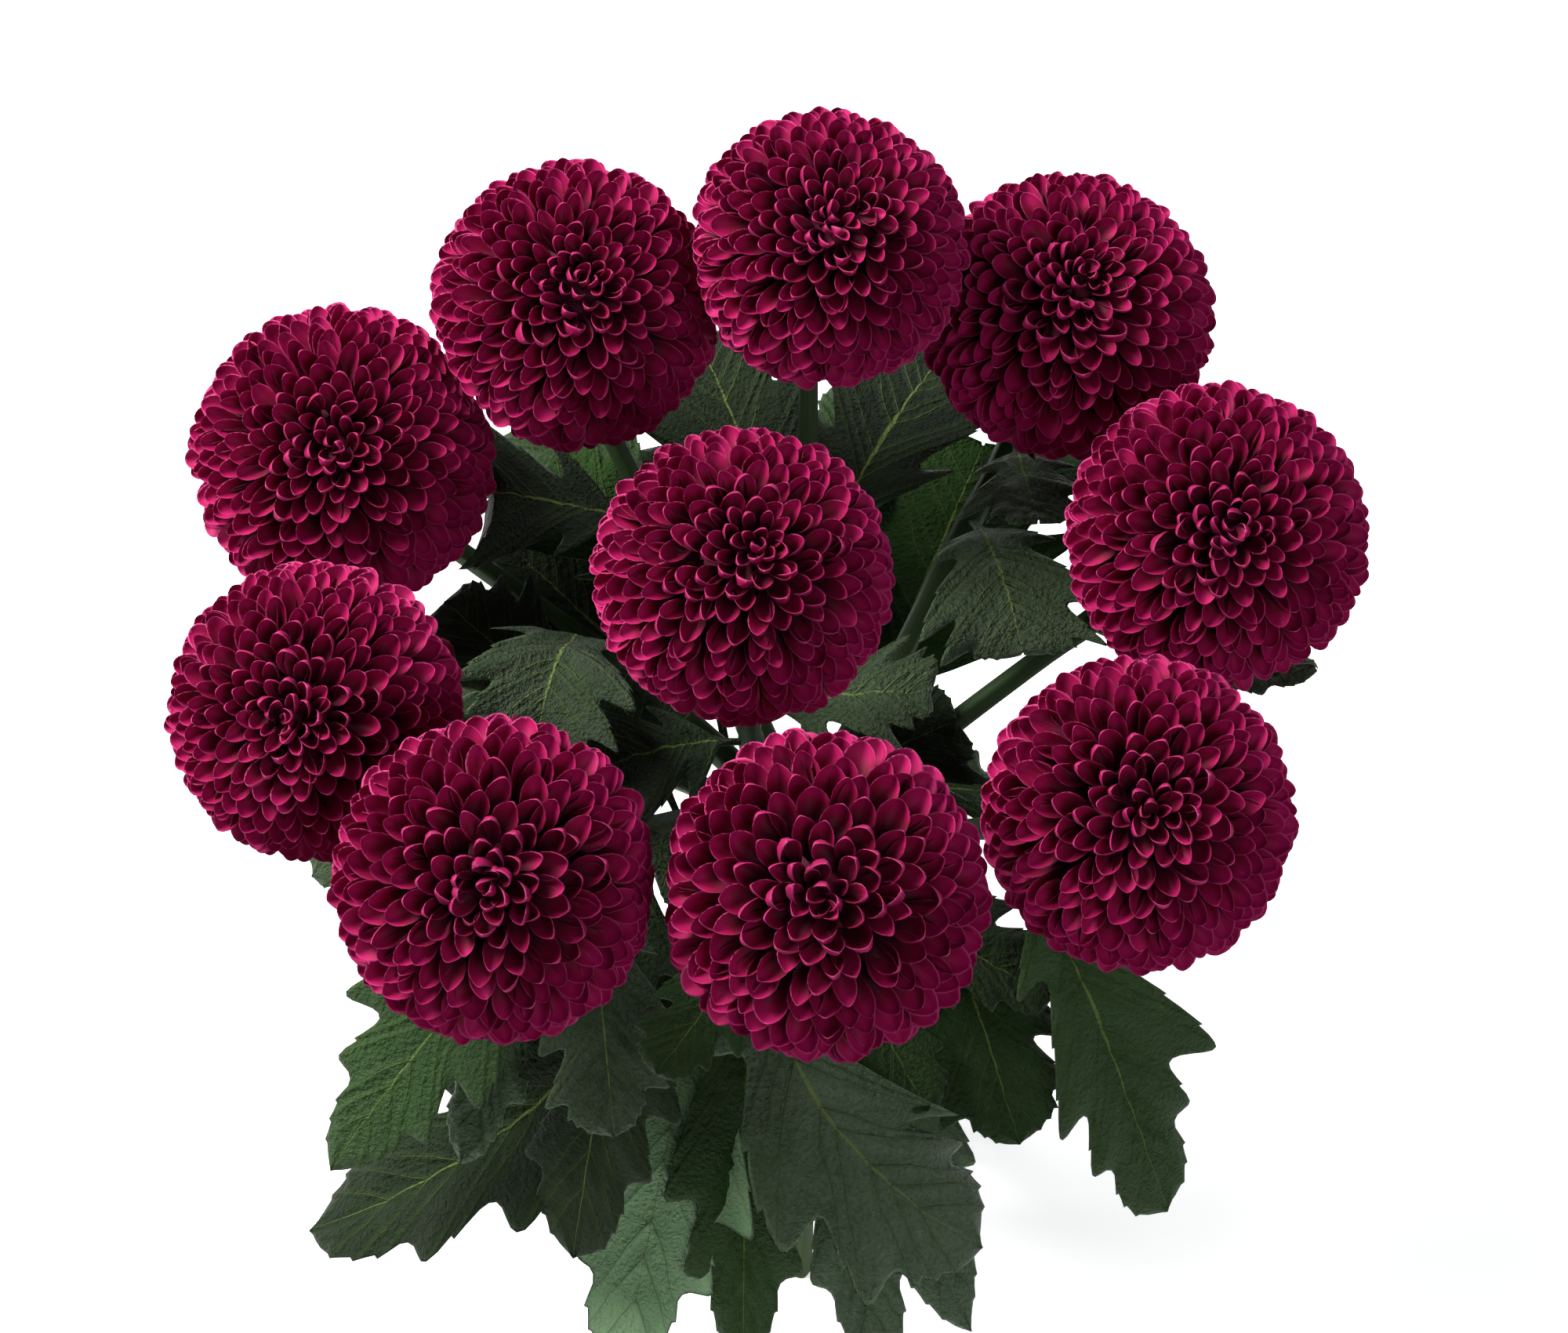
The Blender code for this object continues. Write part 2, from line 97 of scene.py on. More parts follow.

# Stems
TIE_HEIGHT = 165 * MM
STEM_RADIUS_FOOT = 3.9 * MM
STEM_RADIUS_TIE = 3.5 * MM
STEM_RADIUS_NECK = 2.6 * MM
NECK_HEIGHT = 280 * MM
SPLAY = 50 * MM
LEAN_OVER_TIE = 0.5
SPIRAL_TURN = math.radians(83)
ARRIVAL = 0.75
CALYX_DEPTH = 9 * MM
WAIST_RADIUS = 11.9 * MM
MIDDLE_OFFSET = 4.4 * MM
ABOVE_TIE = 8 * MM
STEM_OVAL = 0.3  # share of a stem's slant that widens it outwards where it crosses the tie
STEM_AROUND = 28
STEM_RIDGES = 5
RIDGE = 0.05  # height of a ridge, as a share of the stem's radius
JOINT_SWELL = 0.22  # how much thicker a stem is where a leaf grows, as a share of its radius
JOINT_LENGTH = 3.5 * MM
STREAKS_ROUND = 4  # scale of the stem's streaks round it

# Calyx: shares of its depth that have a ring, and its radius (mm) by the share of the depth
CALYX_SHARES = np.array([0.12, 0.24, 0.36, 0.50, 0.66, 0.84, 1.0])
CALYX_PLACES = [0, 0.15, 0.36, 0.6, 1.0]
CALYX_RADII = [2.8, 3.6, 5.6, 8.0, 10.6]

# Cut end: the sharp edge's ring, the hollow in the pith and the middle, and how much of each ring
# has the look of pith
CUT_EDGE = 0.96
CUT_BEVEL = 0.06
HOLLOW_WIDTH = 0.55
HOLLOW_HEIGHT = 0.25 * MM
HOLLOW_MIDDLE = 0.5 * MM
CUT_LOOK = [1.0, 0.8, 0.55, 0.0]

# Scales that clasp the calyx: number in a row, length and stand-off (mm) of each row, the shape of
# the cone that they lie on as radius by height (mm), and the place up a stem with the same green
SCALE_ROWS = [(9, 15.5, 0.5), (9, 11.0, 1.1)]
SCALE_HEIGHTS = [0, 2, 5, 9, 16]
SCALE_REACHES = [3.0, 4.4, 8.0, 11.6, 17.0]
SCALE_HALF_WIDTH = 3.1 * MM
SCALE_THICK = 0.45 * MM
SCALE_GREEN = 260

# Tie
TWINE_TURNS = 4
TWINE = 2.8 * MM
TWINE_STEPS = 300
TWINE_AROUND = 18
STRANDS = 3
STRAND_RELIEF = 0.10  # depth of the grooves between strands, as a share of the radius
STRAND_TURN = 4.2  # turns of the strands about the twine in each turn about the bunch
TWINE_TAPER = 0.012  # share of the length over which each end tapers
TWINE_END = 0.15  # thickness left at the very end, as a share of the whole
FIBRE_SCALE = 15

# Leaves: (stem, height of the root, tip (mm), width (mm), roll (deg), arch, bow, finish), where the
# finish is a tone from LEAF_FINISHES
LEAVES = [
    ("bottom_left", 220, (-118, -103, 168), 46, -10, 0.12, 0.0, "mid"),
    ("bottom_left", 186, (-129, -97, 118), 60, 0, 0.10, 0.18, "deep"),
    ("bottom_left", 213, (-53, -119, 148), 50, 0, 0.16, 0.0, "deep"),
    ("bottom_left", 208, (-83, -101, 168), 34, 0, 0.08, -0.06, "frosted"),
    ("bottom_left", 245, (-40, -112, 205), 42, 0, 0.10, 0.0, "waxy"),
    ("bottom_left", 205, (-46, 22, 222), 48, 0, 0.10, 0.0, "shade"),
    ("bottom", 250, (-28, -110, 234), 32, 0, 0.0, 0.0, "dark"),
    ("bottom", 190, (-41, -139, 110), 54, 180, 0.12, 0.0, "pale"),
    ("bottom", 234, (56, -131, 177), 64, 0, 0.12, -0.22, "sheen"),
    ("bottom", 200, (-7, -138, 110), 42, 0, 0.10, 0.0, "mid"),
    ("bottom", 224, (75, -76, 213), 38, 0, 0.05, 0.0, "deep"),
    ("bottom", 214, (42, -104, 203), 34, 0, 0.08, 0.0, "dark"),
    ("bottom", 195, (52, 4, 226), 52, 0, 0.10, 0.0, "shade"),
    ("right_lower", 188, (31, -138, 107), 37, 0, 0.10, 0.0, "sheen"),
    ("right_lower", 200, (56, -127, 118), 38, 0, 0.12, -0.06, "sheen"),
    ("right_lower", 210, (45, -120, 155), 36, 0, 0.08, 0.0, "sheen"),
    ("right_lower", 242, (109, -106, 150), 52, 0, 0.12, -0.01, "mid"),
    ("right_lower", 222, (67, -104, 185), 44, 0, 0.08, 0.0, "dark"),
    ("left_lower", 235, (-124, -33, 205), 34, 0, 0.05, 0.0, "waxy"),
    ("left_lower", 212, (-92, 50, 218), 50, 0, 0.03, 0.0, "shade"),
    ("left_upper", 207, (-62, -16, 244), 54, 0, 0.30, 0.0, "dim"),
    ("left_upper", 188, (-31, 118, 204), 60, 0, 0.06, 0.0, "shade"),
    ("top_left", 230, (-90, 66, 251), 60, 0, 0.05, 0.0, "shade"),
    ("top_left", 216, (-66, 88, 228), 56, 0, 0.05, 0.0, "bright"),
    ("top", 218, (-21, 131, 238), 60, 0, 0.08, 0.0, "shade"),
    ("top", 230, (52, 122, 244), 64, 0, 0.10, 0.0, "shade"),
    ("top_right", 197, (63, 112, 213), 80, 180, 0.0, 0.0, "bright"),
    ("top_right", 240, (74, 46, 262), 40, 0, 0.0, 0.0, "waxy"),
    ("top_right", 228, (69, 11, 249), 54, 0, 0.15, 0.0, "waxy"),
    ("middle", 225, (44, 1, 244), 40, 0, 0.1, 0.0, "waxy"),
    ("middle", 215, (-50, -18, 232), 50, 0, 0.1, 0.0, "shade"),
    ("right", 240, (146, -3, 262), 28, 0, -0.1, 0.0, "waxy"),
    ("right", 200, (118, 16, 150), 46, 0, 0.10, 0.0, "dark"),
    ("top", 212, (26, 148, 196), 46, 0, 0.06, 0.0, "dark"),
    ("top_right", 222, (107, 128, 212), 46, 0, 0.06, 0.0, "dark"),
    ("top_left", 212, (-74, 130, 200), 44, 0, 0.10, 0.0, "dark"),
    ("top_left", 184, (-60, 125, 142), 52, 0, 0.04, 0.0, "dark"),
    ("left_upper", 200, (-110, 50, 160), 52, 0, 0.12, 0.0, "dark"),
    ("left_upper", 194, (-75, 74, 213), 46, 0, 0.03, 0.0, "shade"),
    ("bottom", 212, (-30, -48, 231), 39, 0, 0.08, 0.0, "shade"),
]

# Finish of a leaf's upper face: greenness from deep to bright, and greyness of its waxy bloom, which
# is partly painted sheen. The near-black shade and dim tones are painted shade for the leaves deep
# inside the bunch.
LEAF_FINISHES = {
    "shade": (0.02, 0.03),
    "deep": (0.12, 0.03),
    "dark": (0.36, 0.08),
    "mid": (0.62, 0.18),
    "sheen": (0.60, 0.92),
    "waxy": (0.16, 0.44),
    "dim": (0.06, 0.22),
    "frosted": (0.80, 1.00),
    "bright": (0.55, 0.00),
    "pale": (0.60, 0.90),
}

# Outline of a leaf: share of the length along the rib where a side vein leaves it, and the half
# width that the blade reaches along that vein, as a share of the widest. The teeth point forward,
# because each falls off within a short way along the rib.
LEAF_EDGE = [
    (0.000, 0.050), (0.060, 0.042), (0.120, 0.045), (0.170, 0.055), (0.195, 0.110), (0.215, 0.240),
    (0.232, 0.400), (0.248, 0.540), (0.256, 0.520), (0.270, 0.630), (0.282, 0.680), (0.294, 0.680),
    (0.306, 0.620), (0.318, 0.530), (0.332, 0.445), (0.348, 0.395), (0.364, 0.380), (0.382, 0.405),
    (0.402, 0.470), (0.422, 0.560), (0.442, 0.660), (0.455, 0.720), (0.461, 0.685), (0.485, 0.790),
    (0.508, 0.880), (0.520, 0.930), (0.526, 0.890), (0.545, 0.955), (0.562, 0.990), (0.576, 1.000),
    (0.590, 0.960), (0.602, 0.880), (0.612, 0.780), (0.624, 0.665), (0.636, 0.590), (0.650, 0.555),
    (0.664, 0.565), (0.684, 0.625), (0.700, 0.690), (0.706, 0.655), (0.724, 0.730), (0.742, 0.765),
    (0.754, 0.740), (0.768, 0.660), (0.782, 0.570), (0.798, 0.505), (0.814, 0.480), (0.832, 0.500),
    (0.848, 0.515), (0.855, 0.470), (0.874, 0.445), (0.892, 0.430), (0.899, 0.385), (0.918, 0.345),
    (0.938, 0.310), (0.946, 0.260), (0.968, 0.175), (0.986, 0.090), (1.000, 0.012),
]

# Side veins: where each leaves the rib, and how much further along it the edge is that it reaches
SIDE_VEINS = [
    (0.205, 0.080), (0.345, 0.110), (0.400, 0.120), (0.455, 0.117), (0.580, 0.118), (0.635, 0.103),
    (0.740, 0.096), (0.800, 0.084), (0.870, 0.068),
]

# Blade: places from edge to edge, slant of its lobes, and where it starts and is at its full width
LEAF_ACROSS = np.array(
    [-1.0, -0.94, -0.76, -0.54, -0.34, -0.16, 0.0, 0.16, 0.34, 0.54, 0.76, 0.94, 1.0]
)
VEIN_SLANT = math.radians(32)
STALK_END = 0.18
BLADE_START = 0.30
LEAF_CLEARANCE = 2.2 * MM

# Relief of the blade, the first four as a share of its half width
LOBE_RISE = 0.22
LOBE_DROOP = 0.16
LOBE_FORWARD = 0.16
EDGE_WAVE = 0.055
RUMPLE = 0.45 * MM
VEIN_RELIEF = 1.25 * MM
VEIN_ROUNDING = 3.0  # distance from a vein, in mm, over which the blade rises beside it
EDGE_DROP = 0.7 * MM
BLADE_THICK = 0.22 * MM
STALK_THICK = 1.1 * MM
RIB_THICK = 0.35 * MM
RIB_HALF_WIDTH = 0.8 * MM


def unit(vector):
    return vector / np.linalg.norm(vector)


def smooth(low, high, value):
    """The smooth step: 0 up to low, 1 from high on, and 3s^2 - 2s^3 of the share s between."""
    share = np.clip((value - low) / (high - low), 0.0, 1.0)
    return share * share * (3 - 2 * share)


def head_centre(name):
    return np.array(HEADS[name][:3], float) * MM


def head_radius(name):
    return HEADS[name][3] / 2 * MM


def head_axis(name):
    lean, turn = (math.radians(angle) for angle in HEADS[name][4:6])
    return np.array([math.sin(lean) * math.cos(turn), math.sin(lean) * math.sin(turn), math.cos(lean)])


def frame_about(axis):
    """Two directions square to an axis, for placing a shape that was made about +Z."""
    side = unit(np.cross((0.0, 1.0, 0.0), axis))
    return side, np.cross(axis, side)


def squash_towards_neighbours(points, name):
    """What reaches past the plane between two heads is pressed back: a depth d past the start of the
    press becomes D(1 - exp(-d / D)), where D is the press's whole depth."""
    centre, radius = head_centre(name), head_radius(name)
    for other in HEADS:
        if other == name:
            continue
        way = head_centre(other) - centre
        distance = np.linalg.norm(way)
        limit = distance * radius / (radius + head_radius(other)) - GAP / 2
        if limit > radius + SQUASH_DEPTH:
            continue
        way /= distance
        over = np.maximum((points - centre) @ way - (limit - SQUASH_DEPTH), 0)
        pressed = SQUASH_DEPTH * (1 - np.exp(-over / SQUASH_DEPTH))
        points = points + (pressed - over)[..., None] * way
    return points


def ring_faces(rows, columns):
    """Quads of a grid of rows by columns, numbered row by row, whose last column joins the first."""
    row = np.arange(rows - 1)[:, None]
    column = np.arange(columns)[None, :]
    a = row * columns + column
    b = row * columns + (column + 1) % columns
    return np.stack([a, b, b + columns, a + columns], axis=-1).reshape(-1, 4)


def triangles_last(faces):
    """Turns each quad that names a point twice until the repeat is last, which marks a triangle."""
    for _ in range(4):
        rolled = np.roll(faces, 1, axis=1)
        better = (rolled[:, 2] == rolled[:, 3]) & (faces[:, 2] != faces[:, 3])
        faces = np.where(better[:, None], rolled, faces)
    return faces


def closed_faces(rows, columns, downwards=False):
    """Faces of rings whose first and last are one point each. The rings follow each other upwards or
    downwards."""
    faces = ring_faces(rows, columns)
    faces = faces[:, ::-1] if downwards else faces
    faces[faces < columns] = 0
    faces[faces >= (rows - 1) * columns] = (rows - 1) * columns
    return triangles_last(faces)


def triples(shape, *values):
    """Three numbers for each point of a grid, where each is given whole or by row or column."""
    return np.stack([np.broadcast_to(value, shape) for value in values], axis=-1).reshape(-1, 3)


def surface(name, points, faces, finish, facts):
    """A piece from numpy arrays: points (n, 3), faces (m, 4), where a face whose last two corners are
    one point is a triangle, and facts, each a name and an (n, 3) array kept on the mesh."""
    drop = faces[:, 2] == faces[:, 3]
    sizes = np.where(drop, 3, 4)
    keep = np.ones(faces.shape, bool)
    keep[drop, 3] = False
    corners = faces[keep]
    starts = np.concatenate([[0], np.cumsum(sizes)[:-1]])
    mesh = bpy.data.meshes.new(name)
    mesh.vertices.add(len(points))
    mesh.vertices.foreach_set("co", np.asarray(points, np.float32).ravel())
    mesh.loops.add(len(corners))
    mesh.loops.foreach_set("vertex_index", corners.astype(np.int32))
    mesh.polygons.add(len(faces))
    mesh.polygons.foreach_set("loop_start", starts.astype(np.int32))
    mesh.polygons.foreach_set("loop_total", sizes.astype(np.int32))
    mesh.update(calc_edges=True)
    mesh.shade_smooth()
    for fact, values in facts.items():
        kept = mesh.attributes.new(fact, "FLOAT_VECTOR", "POINT")
        kept.data.foreach_set("vector", np.asarray(values, np.float32).ravel())
    mesh.materials.append(finish)
    made = bpy.data.objects.new(name, mesh)
    bpy.context.scene.collection.objects.link(made)
    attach(made, "root")
    return made


def joined(parts):
    """Several (points, faces, facts) as one: the faces of each are renumbered past those before it."""
    points, faces, facts = [], [], {}
    count = 0
    for some_points, some_faces, some_facts in parts:
        points.append(some_points)
        faces.append(some_faces + count)
        for fact, values in some_facts.items():
            facts.setdefault(fact, []).append(values)
        count += len(some_points)
    facts = {fact: np.concatenate(values) for fact, values in facts.items()}
    return np.concatenate(points), np.concatenate(faces), facts


# Florets

def floret_places(start, coarseness):
    """Angle from the crown and turn of each floret's tip.

    The number of florets inside an angle is the sum of each ring's area over its pitch squared, and
    each next floret stands one golden angle further round.
    """
    polar = np.radians(np.linspace(0.0, LAST_FLORET, 600))
    pitch = np.interp(np.degrees(polar), PITCH_ANGLES, PITCHES)
    inside = np.cumsum(math.tau * np.sin(polar) / (pitch * coarseness) ** 2) * (polar[1] - polar[0])
    order = np.arange(int(inside[-1]))
    return np.interp(order + 0.5, inside, polar), start + order * GOLDEN_ANGLE


def floret_faces():
    """Faces of one closed floret: its inner sheet, its outer sheet turned over, and a strip that closes
    the root. The sheets share the rim, which is the first and last column and the tip row."""
    rows, columns = len(FLORET_ALONG), len(FLORET_ACROSS)
    inner = np.arange(rows * columns).reshape(rows, columns)
    outer = inner + rows * columns
    outer[:, 0] = inner[:, 0]
    outer[:, -1] = inner[:, -1]
    inner[-1, :] = inner[-1, columns // 2]
    outer[-1, :] = inner[-1, columns // 2]
    faces = []
    for sheet, flip in ((inner, False), (outer, True)):
        a, b = sheet[:-1, :-1], sheet[:-1, 1:]
        c, d = sheet[1:, 1:], sheet[1:, :-1]
        corners = [a, d, c, b] if flip else [a, b, c, d]
        faces.append(np.stack(corners, axis=-1).reshape(-1, 4))
    root = np.stack([outer[0, :-1], outer[0, 1:], inner[0, 1:], inner[0, :-1]], axis=-1)
    faces.append(root)
    return triangles_last(np.concatenate(faces))


def florets(name, number):
    """All spoons of a head as one array of points.

    The line down the middle of a floret's rim is found from its tip backwards: at a share v of the
    length it climbs at a slope that eases from the root's to the middle's and then to the tip's, each
    of them flatter than the last. The rim is w(v) to each side of that line. The bowl hangs under it,
    at a place u from -1 to 1, by d(v)(1 - |u|^2.3). With s the share of the way from the widest place
    to the tip, w closes as (1 - s^p)^b, which is the more pointed the less p is and the more b is,
    and d closes as the square root of 1 - s^2.6. What differs by chance between florets is drawn
    from a normal law, cut off at twice its spread.
    """
    chance = np.random.RandomState(100 + number)
    coarseness = HEADS[name][6]
    polar, turn = floret_places(chance.uniform(0, math.tau), coarseness)
    count = len(polar)
    degrees = np.degrees(polar)
    (
        longer, wider, deeper, steeper_root, steeper_middle, steeper_tip, further, twisted, rolled,
        fuller, astray_round, wavy, lot, astray_down, lopsided, pointed,
    ) = chance.normal(0, 1, (16, count)).clip(-2, 2)
    radius = head_radius(name)

    def by_angle(*values):
        return np.interp(degrees, FLORET_ANGLES, values)

    length = radius * by_angle(0.24, 0.30, 0.40, 0.46, 0.50, 0.58) * (1 + 0.07 * longer)
    width = radius * coarseness * by_angle(0.046, 0.060, 0.086, 0.092, 0.106, 0.122)
    width = width * (1 + 0.11 * wider)
    depth = width * by_angle(1.00, 1.06, 1.12, 1.12, 0.90, 0.42) * (1 + 0.12 * deeper)
    slope_root = by_angle(90, 88, 84, 78, 68, 40) + 4 * steeper_root
    slope_middle = by_angle(77, 73, 67, 63, 50, 14) + by_angle(14, 11, 8, 7, 8, 9) * steeper_middle
    slope_tip = by_angle(60, 57, 54, 54, 45, 8) + by_angle(18, 14, 11, 10, 11, 14) * steeper_tip
    share = by_angle(0.900, 0.955, 0.985, 0.985, 0.985, 0.985)
    share = share + by_angle(0.014, 0.012, 0.010, 0.012, 0.016, 0.030) * further
    twist = np.radians(by_angle(16, 13, 9, 8, 8, 10) * twisted)
    roll = np.radians(by_angle(14, 12, 10, 9, 10, 12) * rolled)
    fullness = np.clip(2.3 + 0.25 * fuller, 1.8, 2.9)
    turn = turn + np.radians(2.4) * astray_round
    polar = polar + np.radians(1.2) * astray_down

    along = FLORET_ALONG[None, :]
    settle = smooth(0.0, 0.55, along)
    lift = smooth(0.55, 1.0, along)
    slope = slope_root[:, None] + (slope_middle - slope_root)[:, None] * settle
    slope = np.radians(slope + (slope_tip - slope_middle)[:, None] * lift)
    step = np.diff(FLORET_ALONG)[None, :] * length[:, None]
    between = (slope[:, :-1] + slope[:, 1:]) / 2
    outwards = np.zeros((count, len(FLORET_ALONG)))
    upwards = np.zeros_like(outwards)
    outwards[:, :-1] = -np.cumsum((step * np.cos(between))[:, ::-1], axis=1)[:, ::-1]
    upwards[:, :-1] = -np.cumsum((step * np.sin(between))[:, ::-1], axis=1)[:, ::-1]

    past = np.clip((along - FLORET_WIDEST) / (1 - FLORET_WIDEST), 0, 1)
    point = by_angle(0.62, 0.60, 0.60, 0.62, 0.63, 0.60) + 0.9 * (coarseness - 0.95)
    point = point + 0.04 * pointed
    close = np.clip(1 - past ** fullness[:, None], 0, 1) ** point[:, None]
    grow = np.sin(np.clip(along / FLORET_WIDEST, 0, 1) * math.pi / 2)
    half = width[:, None] * (0.20 + 0.80 * grow**2) * close
    bowl = depth[:, None] * (0.06 + 0.94 * grow**2.6) * np.clip(1 - past**2.6, 0, 1) ** 0.5

    across = FLORET_ACROSS[None, None, :]
    sideways = half[..., None] * across
    wave = np.sin(8 * along[..., None] + 5 * wavy[:, None, None] + 2.2 * across)
    leaning = 1 + 0.10 * lopsided[:, None, None] * across
    sunk = bowl[..., None] * (1 - np.abs(across) ** 2.3) * leaning
    sunk = sunk - RIPPLE * wave * across**2 * close[..., None]

    away = np.stack([np.sin(polar) * np.cos(turn), np.sin(polar) * np.sin(turn), np.cos(polar)], -1)
    down = np.stack([np.cos(polar) * np.cos(turn), np.cos(polar) * np.sin(turn), -np.sin(polar)], -1)
    beside = np.stack([-np.sin(turn), np.cos(turn), np.zeros(count)], -1)
    tip = away * (share * radius)[:, None]
    down, beside = turned(down, beside, twist)
    away, beside = turned(away, beside, roll)

    rim_line = tip[:, None] + down[:, None] * outwards[..., None] + away[:, None] * upwards[..., None]
    face = away[:, None] * np.cos(slope)[..., None] - down[:, None] * np.sin(slope)[..., None]
    inner = rim_line[:, :, None] + beside[:, None, None] * sideways[..., None]
    inner = inner - face[:, :, None] * sunk[..., None]
    normal = np.cross(np.gradient(inner, axis=2), np.gradient(inner, axis=1))
    normal /= np.maximum(np.linalg.norm(normal, axis=-1), 1e-12)[..., None]
    normal *= np.sign((normal * face[:, :, None]).sum(-1).sum((1, 2)))[:, None, None, None]
    thick = FLORET_THICK * (1 - across**4) * (1 - 0.6 * past[..., None])
    outer = inner - normal * thick[..., None]

    points = np.stack([inner, outer], axis=1)
    shape = points.shape[:-1]
    to_side = half[..., None] * (1 - np.abs(across))
    to_tip = (1 - along[..., None]) * length[:, None, None]
    # nearness to the rim, for the painted highlight along it
    rim = np.exp(-np.minimum(to_side, to_tip) / RIM_WIDTH)
    turned_over = np.zeros(shape[1:])
    turned_over[1] = 1.0
    turned_over[:, -1] = 0.5
    turned_over[:, :, [0, -1]] = 0.5
    scaled_along = along[..., None] * ALONG_SCALE
    scaled_lot = lot[:, None, None, None] * LOT_SCALE
    facts = {
        "spoon": triples(shape, sideways[:, None] / MM, scaled_along, scaled_lot),
        "petal": triples(shape, rim[:, None], turned_over, 0),
    }
    points = points.reshape(-1, 3)
    first = math.prod(shape[1:]) * np.arange(count)
    faces = (floret_faces()[None] + first[:, None, None]).reshape(-1, 4)
    used, renumbered = np.unique(faces, return_inverse=True)
    faces = renumbered.reshape(-1, 4)
    return points[used], faces, {fact: values[used] for fact, values in facts.items()}


def turned(first, second, angle):
    """Two rows of directions turned in their own plane."""
    cosine, sine = np.cos(angle)[:, None], np.sin(angle)[:, None]
    return first * cosine + second * sine, second * cosine - first * sine


def floret_bed(name):
    """The cushion that the florets are rooted in: a profile turned about the axis. It is a flattened
    ball down to the flat seat on the calyx."""
    radius = head_radius(name)
    polar = np.radians(np.linspace(0, BED_LAST, BED_ROWS))
    reach = np.interp(np.degrees(polar), BED_ANGLES, BED_REACHES)
    out = reach * np.sin(polar)
    tall = reach * np.cos(polar) * np.where(polar < math.pi / 2, CROWN, UNDERSIDE)
    out = np.append(out, [SEAT_RADIUS / radius, 0.0])
    tall = np.append(tall, [-SEAT_DEPTH, -SEAT_DEPTH])
    out[0] = 0.0
    turn = np.linspace(0, math.tau, BED_AROUND, endpoint=False)
    shape = (len(out), BED_AROUND)
    out = out[:, None]
    points = radius * triples(shape, out * np.cos(turn), out * np.sin(turn), tall[:, None])
    facts = {"spoon": triples(shape, 0, BED_ALONG, 0), "petal": triples(shape, 0, 0, 0)}
    return points, closed_faces(*shape, downwards=True), facts


def pompon(name, number, finish):
    """A head: florets, flattened over and under, on their bed, then set on the head's axis and
    pressed back from the neighbouring heads."""
    side, up = frame_about(head_axis(name))
    spoons, faces, facts = florets(name, number)
    spoons[:, 2] *= np.where(spoons[:, 2] > 0, CROWN, UNDERSIDE)
    points, faces, facts = joined([(spoons, faces, facts), floret_bed(name)])
    placed = head_centre(name) + points @ np.array([side, up, head_axis(name)])
    placed = squash_towards_neighbours(placed, name)
    made = surface("pompon_" + name, placed, faces, finish, facts)
    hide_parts("bloom_" + name)


# Stems

def waist_turn(name):
    return math.tau / len(RING_HEADS) * RING_HEADS.index(name) - SPIRAL_TURN


def neck_point(name):
    """Where the calyx starts, under the seat of the head."""
    depth = SEAT_DEPTH * head_radius(name) + GAP + CALYX_DEPTH
    return head_centre(name) - head_axis(name) * depth


def stem_curve(name, lower_steps=14, upper_steps=34):
    """Centre line of a stem: straight from the cut end through the tie, then a Hermite curve that
    leaves along the spiral and arrives along the head's axis."""
    turn = waist_turn("left_lower" if name == "middle" else name)
    outward = np.array([math.cos(turn), math.sin(turn), 0])
    along = np.array([-math.sin(turn), math.cos(turn), 0])
    up = np.array([0, 0, 1])
    if name == "middle":
        foot = np.zeros(3)
        waist = MIDDLE_OFFSET * outward + TIE_HEIGHT * up
        leave = unit(waist)
    else:
        foot = WAIST_RADIUS * outward - SPLAY * along
        waist = WAIST_RADIUS * outward + TIE_HEIGHT * up
        leave = unit(up + LEAN_OVER_TIE * along)
    start = foot + (waist - foot) * (1 + ABOVE_TIE / TIE_HEIGHT)
    neck = neck_point(name)
    reach = np.linalg.norm(neck - start)
    leave, arrive = leave * reach, head_axis(name) * reach * ARRIVAL
    share = np.arange(lower_steps)[:, None] / lower_steps
    lower = foot + (start - foot) * share
    t = np.linspace(0, 1, upper_steps + 1)[:, None]
    upper = (
        (2 * t**3 - 3 * t**2 + 1) * start
        + (t**3 - 2 * t**2 + t) * leave
        + (3 * t**2 - 2 * t**3) * neck
        + (t**3 - t**2) * arrive
    )
    return np.vstack([lower, upper])


def stem_radius(height):
    return np.interp(
        height, [0, TIE_HEIGHT, NECK_HEIGHT], [STEM_RADIUS_FOOT, STEM_RADIUS_TIE, STEM_RADIUS_NECK]
    )


def tangents(points):
    ahead = np.diff(points, axis=0)
    ahead /= np.linalg.norm(ahead, axis=1)[:, None]
    middle = ahead[:-1] + ahead[1:]
    middle /= np.linalg.norm(middle, axis=1)[:, None]
    return np.vstack([ahead[:1], middle, ahead[-1:]])


def point_on_stem(name, height):
    line = stem_curve(name)
    return np.array([np.interp(height, line[:, 2], line[:, k]) for k in range(3)])


